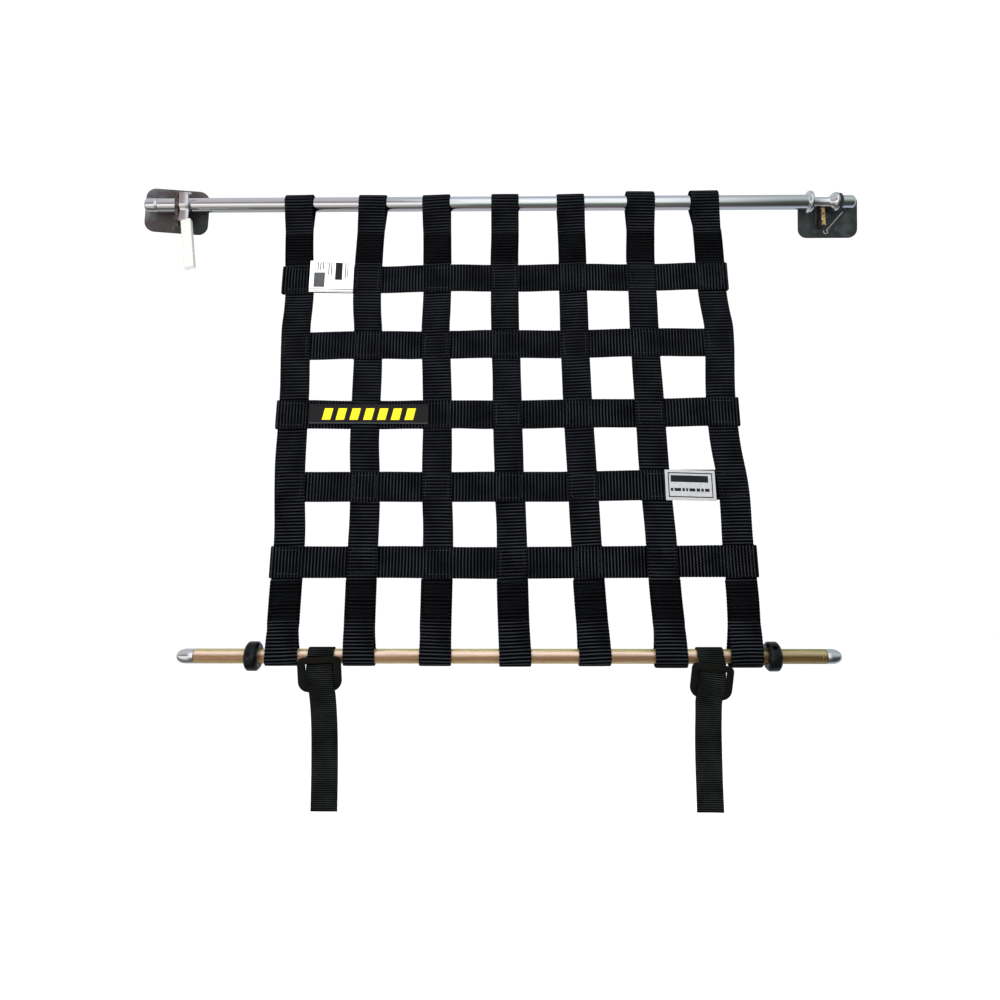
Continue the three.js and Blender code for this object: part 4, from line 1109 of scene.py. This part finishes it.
class WINDOWNET_OT_lower_rod(bpy.types.Operator):
    """Turns the lower rod with its tips and the shaft collars"""

    bl_idname = "window_net.lower_rod"
    bl_label = "Lower rod"

    def execute(self, context):
        turned("bar_lower", [
            (-262.6, 0), (-262.6, 3.6), (-258.1, 3.6), (-258.1, 5.4), (-258.0, 5.65), (-257.7, 5.8),
            (256.6, 5.8), (256.9, 5.65), (257.0, 5.4), (257.0, 3.6), (261.5, 3.6), (261.5, 0)],
            LOWER_ROD_Z, "yellow_zinc", ("rod_lower",))
        for name, seam, end in (("left", -258.45, -273.2), ("right", 257.35, 269.9)):
            side = math.copysign(1, end)
            dome = [(end - side * 8 * (1 - math.sin(a)), 5.8 * math.cos(a) ** 0.8)
                    for a in np.linspace(0, math.pi / 2, 12)[:-1]]
            profile = [(seam, 3.95), (seam, 5.5), (seam + side * 0.12, 5.72), (seam + side * 0.4, 5.8), *dome,
                       (end, 0), (seam + side * 4.6, 0), (seam + side * 4.6, 3.95), (seam, 3.95)]
            turned(f"bar_tip_{name}", profile, LOWER_ROD_Z, "zinc", (f"rod_tip_{name}",))
        # The end of a roll pin shows in front, near each tip.
        for name, x in (("left", -254.1), ("right", 253.4)):
            path = [(x, y, LOWER_ROD_Z - 0.4) for y in (-5.3, -5.6, -5.9)]
            tube(f"roll_pin_{name}", path, 0.95, "zinc")
        # Set screws: up and to the back on the left, up and to the front on the right.
        for name, x, facing in (("left", -210.3, 1), ("right", 214.0, -1)):
            half, r, bore = 5.4, 11.6, LOWER_RADIUS + GAP
            rim = [(0.0, bore + 0.3), (0.0, r - 2.2), (0.25, r - 1.8), (1.5, r - 0.4), (1.9, r - 0.1),
                   (2.4, r)]
            profile = ([(x - half + a, h) for a, h in rim] + [(x + half - a, h) for a, h in rim[::-1]]
                       + [(x + half - 0.3, bore), (x - half + 0.3, bore), (x - half, bore + 0.3)])
            collar = turned(f"shaft_collar_{name}", profile, LOWER_ROD_Z, "black_oxide",
                            (f"collar_{name}",))
            way = np.array((0, facing * math.cos(0.69), math.sin(0.69)))
            axis = np.array([x, 0, LOWER_ROD_Z])
            drilled(collar, axis + way * 11.0, 2.1, way, 9.0)
            set_screw(f"set_screw_{name}", axis + way * 8.6, way)
        return {"FINISHED"}


def set_screw(name, centre, way):
    """A socket set screw: a short plug with a hexagonal socket."""
    way = np.array(way)
    side = np.cross(way, (1, 0, 0))
    across = np.array((1.0, 0, 0))
    points, faces = [], []
    count = 36

    def ring(radius, height, hexagon=False):
        start = len(points)
        for a in np.linspace(0, 2 * np.pi, count, endpoint=False):
            flat_side = math.cos(math.pi / 6) / math.cos((a % (math.pi / 3)) - math.pi / 6)
            r = radius * flat_side if hexagon else radius
            points.append(tuple(centre + across * r * math.cos(a) + side * r * math.sin(a) + way * height))
        return list(range(start, start + count))

    rings = [ring(1.75, -1.2), ring(1.75, 0.7), ring(1.6, 0.85), ring(1.05, 0.85, hexagon=True),
             ring(1.05, -0.4, hexagon=True)]
    for a, b in zip(rings, rings[1:]):
        for k in range(count):
            n = (k + 1) % count
            faces.append([a[k], a[n], b[n], b[k]])
    faces += [rings[0][::-1], rings[-1]]
    made = piece(name, points, faces, ["black_oxide"])
    face_outwards(made.data)
    made.data.set_sharp_from_angle(angle=math.radians(35))


def weld_bead(name, start, stop, across, width, height, seed):
    """A weld run with overlapping ripples from start to stop."""
    start, stop, across = (np.array(v, float) for v in (start, stop, across))
    out = np.cross(across, (stop - start) / np.linalg.norm(stop - start))
    length = np.linalg.norm(stop - start)
    rows = int(length / 0.45)
    numbers = np.random.default_rng(seed)
    points, faces = [], []
    count = 10
    for i in range(rows + 1):
        t = i / rows
        ripple = 0.72 + 0.28 * abs(math.sin(i * 0.45 / 2.6 * math.pi)) + numbers.normal(0, 0.03)
        taper = min(1.0, 0.25 + 4 * min(t, 1 - t))
        for a in np.linspace(0, 2 * np.pi, count, endpoint=False):
            points.append(start + (stop - start) * t + across * math.cos(a) * width / 2 * ripple * taper
                          + out * math.sin(a) * height / 2 * ripple * taper)
    for i in range(rows):
        for k in range(count):
            n = (k + 1) % count
            faces.append([i * count + k, i * count + n, (i + 1) * count + n, (i + 1) * count + k])
    faces += [list(range(count))[::-1], list(range(rows * count, (rows + 1) * count))]
    made = piece(name, points, faces, ["weld"])
    face_outwards(made.data)
    return made


class WINDOWNET_OT_brackets(bpy.types.Operator):
    """Makes the weld-on brackets, each a plate with an edge-on tab and its weld"""

    bl_idname = "window_net.brackets"
    bl_label = "Brackets"

    def execute(self, context):
        closed = [(10.0, -21.5), (10.0, 12.6), (-6.0, 12.0), (-8.6, 10.2), (-9.6, 7.0), (-9.6, -6.0),
                  (-8.4, -21.5)]
        rod_hole = arc(UPPER_RADIUS + GAP, 0, 2 * math.pi, 48)[:-1]
        opened = ([(12.5, -22.0), (12.5, 5.5), (6.2, 5.5)]
                  + arc(4.6 + GAP, math.radians(42), math.radians(-66), 20) + [(-0.5, -22.0)])
        for side, plate, outlines, tab in (("left", LEFT_PLATE, [closed, rod_hole], (-315.7, -312.5)),
                                           ("right", RIGHT_PLATE, [opened], (297.6, 301.4))):
            key = f"scale_{side}"
            edge = rounded_rectangle(plate["width"], plate["height"], *plate["corners"])
            place = upright(plate["front"], PLATE_THICK, plate["turn"], plate["middle"], plate["centre"])
            face = cut_plate(f"bracket_plate_{side}", [edge], PLATE_THICK, 0.8, place, key)
            stem = cut_plate(f"bracket_tab_{side}", outlines, tab[1] - tab[0], 0.35,
                             edgewise(*tab, PLATE_LEAN), key)
            # The heat of the weld has tinted the tab's narrow front edge.
            stem.data.materials.append(material("heat_tinted" if side == "right" else "tab_edge_left"))
            for face_of_tab in stem.data.polygons:
                face_of_tab.material_index = int(face_of_tab.normal.y < -0.6)
            runs = ((tab[0] - 0.8, -20.0, 5.0), (tab[1] + 0.8, -20.0, -9.0))
            beads = [weld_bead(f"weld_{side}_{k}", (x, *leant(plate["front"] - 0.3, low)),
                               (x, *leant(plate["front"] - 0.3, high)), (1, 0, 0), 3.2, 2.2, seed=3 + k)
                     for k, (x, low, high) in enumerate(runs)]
            merged(f"weld_bracket_{side}", [face, stem, *beads], (f"bracket_{side}",))
        # Spatter of the weld on the left plate.
        numbers = np.random.default_rng(12)
        count = 14
        heights = numbers.uniform(-21, -8, count)
        places = [(-324.6 + numbers.normal(0, 1.3), *leant(LEFT_PLATE["front"], h)) for h in heights]
        up, out = (np.array(leant(*way)) - np.array(leant(0, 0)) for way in ((0, 1), (-1, 0)))
        stitched("weld_spatter", places, [(0, *up)] * count, [(0, *out)] * count,
                 numbers.uniform(0.9, 2.0, count), 0.9, 0.8, "spatter")
        return {"FINISHED"}


class WINDOWNET_OT_latch(bpy.types.Operator):
    """Bends the latch lever over the rod and makes the safety wire"""

    bl_idname = "window_net.latch"
    bl_label = "Latch and wire"

    def execute(self, context):
        inner = UPPER_RADIUS + GAP
        outer = inner + 1.8
        strip = [(-8.4, 8.8), (-10.2, 8.5)] + arc(outer, math.pi * 1.03, math.pi * 1.24, 12)
        strip += [(-5.7, -8.4), (-5.3, -18.4), (-3.5, -18.4), (-3.8, -8.9)]
        strip += arc(inner, math.pi * 1.28, math.pi * 1.03, 12)
        clip = cut_plate("latch_strip", [strip], 9.0, 0.3, edgewise(-312.1, -303.1), "zinc_dull")
        place = standing(-305.4, -2.6, 187.4, -14.1, -12)
        bar = cut_plate("latch_handle", [rounded_rectangle(9.6, 57, 0.9, 0.9, -28.5)], 5.4, 0.7, place,
                        "zinc_painted_glare")
        # The handle's faces turned to +x take the darker zinc as painted shade on that side; the rest is
        # whitish, a painted reflection.
        bar.data.materials.append(material("zinc_painted_shade"))
        for edge in bar.data.polygons:
            edge.material_index = int(edge.normal.x > 0.6)
        curl = turned("latch_curl", [(-304.9, 0), (-304.9, 1.0), (-304.6, 1.3), (-301.0, 1.3), (-300.7, 1.0),
                                     (-300.7, 0)], UPPER_ROD_Z + 7.4, "zinc_dull", around=32)
        curl.data.transform(Matrix.Translation((0, -0.0093, 0)))
        merged("latch", [clip, bar, curl], ("latch_lever",))
        wire = [(314.9, -3.0, 193.1), (311.5, -1.8, 189.3), (308.2, -0.7, 185.6), (304.8, 0.5, 181.9),
                (301.5, 1.6, 178.2)]
        for i in range(13):
            a = math.pi * (0.3 - 1.6 * i / 12)
            wire.append((298.9 + 1.9 * math.cos(a), 2.2, 175.0 + 1.9 * math.sin(a)))
        tube("wire_of_safety_pin", wire, 0.52, "wire", ("safety_wire",))
        return {"FINISHED"}


def tube(name, path, radius, key, replaces=()):
    """A round wire along points, its line smoothed and its ends domed."""
    path = np.array(path, float)
    length = np.r_[0, np.cumsum(np.linalg.norm(np.diff(path, axis=0), axis=1))]
    at = np.linspace(0, length[-1], max(9, int(length[-1] / 0.35)))
    line = np.stack([smooth_table(length, path[:, k], at) for k in range(3)], 1)
    tangent = np.gradient(line, axis=0)
    tangent /= np.linalg.norm(tangent, axis=1)[:, None]
    side = np.cross(tangent, (0.3, 1.0, 0.2))
    side /= np.linalg.norm(side, axis=1)[:, None]
    up = np.cross(tangent, side)
    grow = np.minimum(1.0, np.sqrt(np.minimum(at, length[-1] - at) / radius + 0.05))
    count, rows = 12, len(at)
    around = np.linspace(0, 2 * np.pi, count, endpoint=False)
    points = (line[:, None] + radius * grow[:, None, None]
              * (side[:, None] * np.cos(around)[None, :, None] + up[:, None] * np.sin(around)[None, :, None]))
    faces = []
    for i in range(rows - 1):
        for k in range(count):
            n = (k + 1) % count
            faces.append([i * count + k, i * count + n, (i + 1) * count + n, (i + 1) * count + k])
    faces += [list(range(count)), list(range((rows - 1) * count, rows * count))]
    made = piece(name, points.reshape(-1, 3), faces, [key], replaces)
    face_outwards(made.data)


# Tie-down straps.

def tie_path(tie):
    """Path of a tie strap as (along, depth, middle, slope), from its free end up."""
    over = BUCKLE["thick"] / 2 + GAP + TIE_THICK / 2
    local = [(-15.4, -over), (-9, -over), (-3, -over), (2.7, -over), (8.7, over), (9.9, over), (13.4, over)]
    tilt, turn = math.radians(tie["tilt"]), math.radians(tie["turn"])
    below, end = tie["below"], tie["end"]
    path = [(TIE_END, 1.5, end, 0.0), (-290, 1.4, below + (end - below) * 0.7, 0.0),
            (-262, 1.0, below + (end - below) * 0.25, 0.0), (-247, -1.6, below, 0.0)]
    low_middle = tie["x"] - 15.4 * math.sin(turn)
    for height, depth in local:
        up = height * math.cos(tilt) + depth * math.sin(tilt)
        towards_loop = min(1.0, max(0.0, height / 13.4))
        towards_end = min(1.0, max(0.0, (-3 - height) / 12.4))
        path.append((tie["z"] + up * math.cos(turn),
                     tie["y"] + depth * math.cos(tilt) - height * math.sin(tilt),
                     tie["x"] + up * math.sin(turn) + (tie["loop_x"] - tie["x"]) * towards_loop
                     + max(-2.1, min(2.1, below - low_middle)) * towards_end, -math.tan(turn)))
    radius = LOWER_RADIUS + GAP + TIE_THICK / 2 + 0.1
    for i in range(25):
        angle = math.pi * (0.95 - 1.01 * (i / 24))
        path.append((LOWER_ROD_Z + radius * math.sin(angle), radius * math.cos(angle),
                     tie["loop_x"] + tie["back_shift"] * (i / 24), 0.0))
    far = tie["loop_x"] + tie["back_shift"]
    path += [(-214, 5.8, far, 0.0), (tie["z"] - 1, 4.6, far, 0.0), (tie["z"] - 9, 4.4, far, 0.0)]
    return path


def rounded_path(points, passes=2):
    """Cuts the corners of a path, so that cloth bends in a small curve."""
    points = np.array(points, float)
    for _ in range(passes):
        a, b = points[:-1], points[1:]
        cut = np.empty((2 * len(a), points.shape[1]))
        cut[0::2] = a * 0.78 + b * 0.22
        cut[1::2] = a * 0.22 + b * 0.78
        points = np.vstack([points[:1], cut, points[-1:]])
    return points


class WINDOWNET_OT_tie_straps(bpy.types.Operator):
    """Threads the tie-down straps through their slide buckles"""

    bl_idname = "window_net.tie_straps"
    bl_label = "Tie straps and buckles"

    def execute(self, context):
        for tie in TIES:
            side = tie["side"]
            path = rounded_path(tie_path(tie))
            # The strap's middle and slope are kept by distance along the path.
            length = np.r_[0, np.cumsum(np.hypot(*np.diff(path[:, :2], axis=0).T))]
            run = np.column_stack([path[:, 0], path[:, 1], length])
            made, flat = ribbed_strap(
                f"tie_webbing_{side}", run,
                lambda along, at, l=length, p=path: np.interp(at, l, p[:, 2]),
                TIE_WIDTH, TIE_THICK, True, "tie_webbing", (f"tie_strap_{side}",),
                slope=lambda along, at, l=length, p=path: np.interp(at, l, p[:, 3]),
                pitch=TIE_RIB_PITCH, height=TIE_RIB_HEIGHT, seed=40 + len(side))
            width = tie["width"]
            outline = rounded_rectangle(width, BUCKLE["height"], *BUCKLE["corners"])
            middle = BUCKLE["bar"] / 2 + BUCKLE["slot"] / 2
            holes = [rounded_rectangle(long, BUCKLE["slot"], 1.2, 1.2, s * middle, 4)
                     for s, long in zip((-1, 1), tie["slots"])]
            place = standing(*(tie[value] for value in ("x", "y", "z", "turn", "tilt")))
            cut_plate(f"slide_buckle_{side}", [outline, *holes], BUCKLE["thick"], 0.6, place, "moulded_nylon",
                      (f"buckle_{side}",))
        return {"FINISHED"}


# Stage.

def area_light(name, place, target, size, power):
    """A soft, rectangular light that faces its target."""
    data = bpy.data.lights.new(name, "AREA")
    data.shape = "RECTANGLE"
    data.size, data.size_y = size
    data.energy = power
    lamp = bpy.data.objects.new(name, data)
    lamp.location = Vector(to_frame(place))
    lamp.rotation_euler = (Vector(to_frame(target)) - lamp.location).to_track_quat("-Z", "Y").to_euler()
    bpy.context.scene.collection.objects.link(lamp)
    return lamp


def card(name, reach, z, colour):
    """A level square of paper, `reach` from its middle to its sides."""
    mesh = bpy.data.meshes.new(name)
    corners = [(-reach, -reach, z), (reach, -reach, z), (reach, reach, z), (-reach, reach, z)]
    mesh.from_pydata(to_frame(corners).tolist(), [], [[0, 1, 2, 3]])
    made = bpy.data.objects.new(name, mesh)
    bpy.context.scene.collection.objects.link(made)
    m, shader = new_material(name + "_paper", Roughness=0.9, Specular_IOR_Level=0.0)
    grain = noise(m, node(m, "ShaderNodeTexCoord").outputs["Object"], 40.0, 4.0)
    raise_surface(m, shader, grain, 0.02, 0.0005)
    shader.inputs["Base Color"].default_value = colour
    mesh.materials.append(m)
    return made


def studio():
    """White room round the net. Bright metal mirrors its white front, pale ceiling and dark floor."""
    world = bpy.data.worlds.new("studio_white")
    world.use_nodes = True
    world.node_tree.nodes.clear()
    way = node(world, "ShaderNodeTexCoord")
    split = node(world, "ShaderNodeSeparateXYZ", links={"Vector": way.outputs["Generated"]})
    front = reckon(world, "MULTIPLY", split.outputs["Y"], -1.0)
    rise = reckon(world, "ARCTAN2", split.outputs["Z"], front)
    share = remap(world, rise, 0.0, 1.0, -math.pi, math.pi)
    # Colours of the room's left, middle and right by the angle above the front's horizon, in degrees.
    rings = []
    for stops in (
            ((-180, "a0a0a2"), (-118, "a1a3a2"), (-104, "6c6c6c"), (-80, "5c5a58"), (-66, "777672"),
             (-54, "cac5c1"), (-42, "a19a94"), (-30, "f4f2ee"), (-8, "ffffff"), (2, "8a8286"), (8, "837a7f"),
             (24, "a39da2"),
             (40, "b7b5b8"), (90, "bebdc2"), (150, "c0c0c4"), (180, "a0a0a2")),
            ((-180, "b0b0b5"), (-116, "b2b1b7"), (-97, "79747b"), (-80, "5a5456"), (-62, "67645d"),
             (-47, "60665c"), (-34, "76837b"), (-17, "d2e1de"), (-5, "ffffff"), (38, "ffffff"),
             (52, "dee2ed"), (72, "a7b1bd"),
             (104, "b5bec5"), (150, "c4c8cc"), (180, "b0b0b5")),
            ((-180, "a5acb2"), (-126, "a3adb6"), (-105, "adb1bc"), (-90, "595b67"), (-70, "393a3e"),
             (-39, "43443c"), (-24, "4e534f"), (-9, "656b6b"), (6, "929b9a"), (23, "a5afad"), (40, "b6bec1"),
             (60, "b0b5b9"),
             (84, "a5a9a7"), (180, "a5acb2"))):
        rings.append(ramp(world, share, [((degrees + 180) / 360, code) for degrees, code in stops]))
    colour = rings[0]
    for ring, (start, stop) in zip(rings[1:], ((-0.32, -0.2), (0.1, 0.33))):
        part = remap(world, split.outputs["X"], 0.0, 1.0, start, stop)
        mix = node(world, "ShaderNodeMix", links={0: part, 6: colour, 7: ring}, data_type="RGBA")
        colour = mix.outputs[2]
    room = node(world, "ShaderNodeBackground", {"Strength": 1.1}, {"Color": colour})
    paper = node(world, "ShaderNodeBackground", {"Color": (1.0, 1.0, 1.0, 1.0), "Strength": 1.05})
    path = node(world, "ShaderNodeLightPath")
    mixed = node(world, "ShaderNodeMixShader", links={
        "Fac": path.outputs["Is Glossy Ray"], 1: paper.outputs[0], 2: room.outputs[0]})
    node(world, "ShaderNodeOutputWorld", links={"Surface": mixed.outputs[0]})
    return world


class WINDOWNET_OT_stage(bpy.types.Operator):
    """Sets the floor, the soft light and the camera"""

    bl_idname = "window_net.stage"
    bl_label = "Stage"

    def execute(self, context):
        scene = context.scene
        floor = card("floor", 9000, -640, (*settings().floor_colour, 1.0))
        floor.visible_glossy = False
        scene.world = studio()
        for name, place, size, power in (("key_softbox", (-900, -1500, 900), (1.4, 1.1), 22),
                                         ("fill_softbox", (1300, -1200, 500), (1.0, 1.0), 9),
                                         ("top_softbox", (0, 150, 1500), (2.2, 0.9), 30)):
            area_light(name, place, (0, 0, 0), size, power).visible_glossy = False
        # The eye stands low in front of the net and looks up, as the photo's perspective shows.
        eye = np.array([-1.2, -646.3, -154.5])
        yaw, pitch = math.radians(-0.60), math.radians(14.41)
        forward = Vector((math.sin(yaw) * math.cos(pitch), math.cos(yaw) * math.cos(pitch), math.sin(pitch)))
        data = bpy.data.cameras.new("camera")
        data.lens = 27.0
        data.sensor_width = 36.0
        data.shift_y = -0.1
        data.clip_start = 0.01
        camera = bpy.data.objects.new("camera", data)
        camera.location = Vector(to_frame(eye))
        camera.rotation_euler = forward.to_track_quat("-Z", "Y").to_euler()
        scene.collection.objects.link(camera)
        scene.camera = camera
        scene.view_settings.view_transform = "Standard"
        scene.view_settings.look = "None"
        return {"FINISHED"}


class WINDOWNET_PT_panel(bpy.types.Panel):
    """Lists the steps that build the net"""

    bl_idname = "WINDOWNET_PT_panel"
    bl_label = "Window net"
    bl_space_type = "VIEW_3D"
    bl_region_type = "UI"
    bl_category = "Window net"

    def draw(self, context):
        layout = self.layout
        values = context.scene.window_net
        for name in WindowNetSettings.__annotations__:
            layout.prop(values, name)
        for step in STEPS:
            layout.operator(step.bl_idname)


STEPS = (WINDOWNET_OT_stage, WINDOWNET_OT_upper_rod, WINDOWNET_OT_lower_rod, WINDOWNET_OT_brackets,
         WINDOWNET_OT_latch, WINDOWNET_OT_vertical_straps, WINDOWNET_OT_level_straps, WINDOWNET_OT_stitching,
         WINDOWNET_OT_labels, WINDOWNET_OT_tie_straps)
CLASSES = (WindowNetSettings, *STEPS, WINDOWNET_PT_panel)


def register():
    for cls in CLASSES:
        bpy.utils.register_class(cls)
    bpy.types.Scene.window_net = PointerProperty(type=WindowNetSettings)


def unregister():
    del bpy.types.Scene.window_net
    for cls in reversed(CLASSES):
        bpy.utils.unregister_class(cls)


def main():
    register()
    for o in list(bpy.context.scene.objects):
        if o.type in {"LIGHT", "CAMERA"}:
            bpy.data.objects.remove(o)
    for step in STEPS:
        group, name = step.bl_idname.split(".")
        getattr(getattr(bpy.ops, group), name)()


if __name__ == "__main__":
    main()
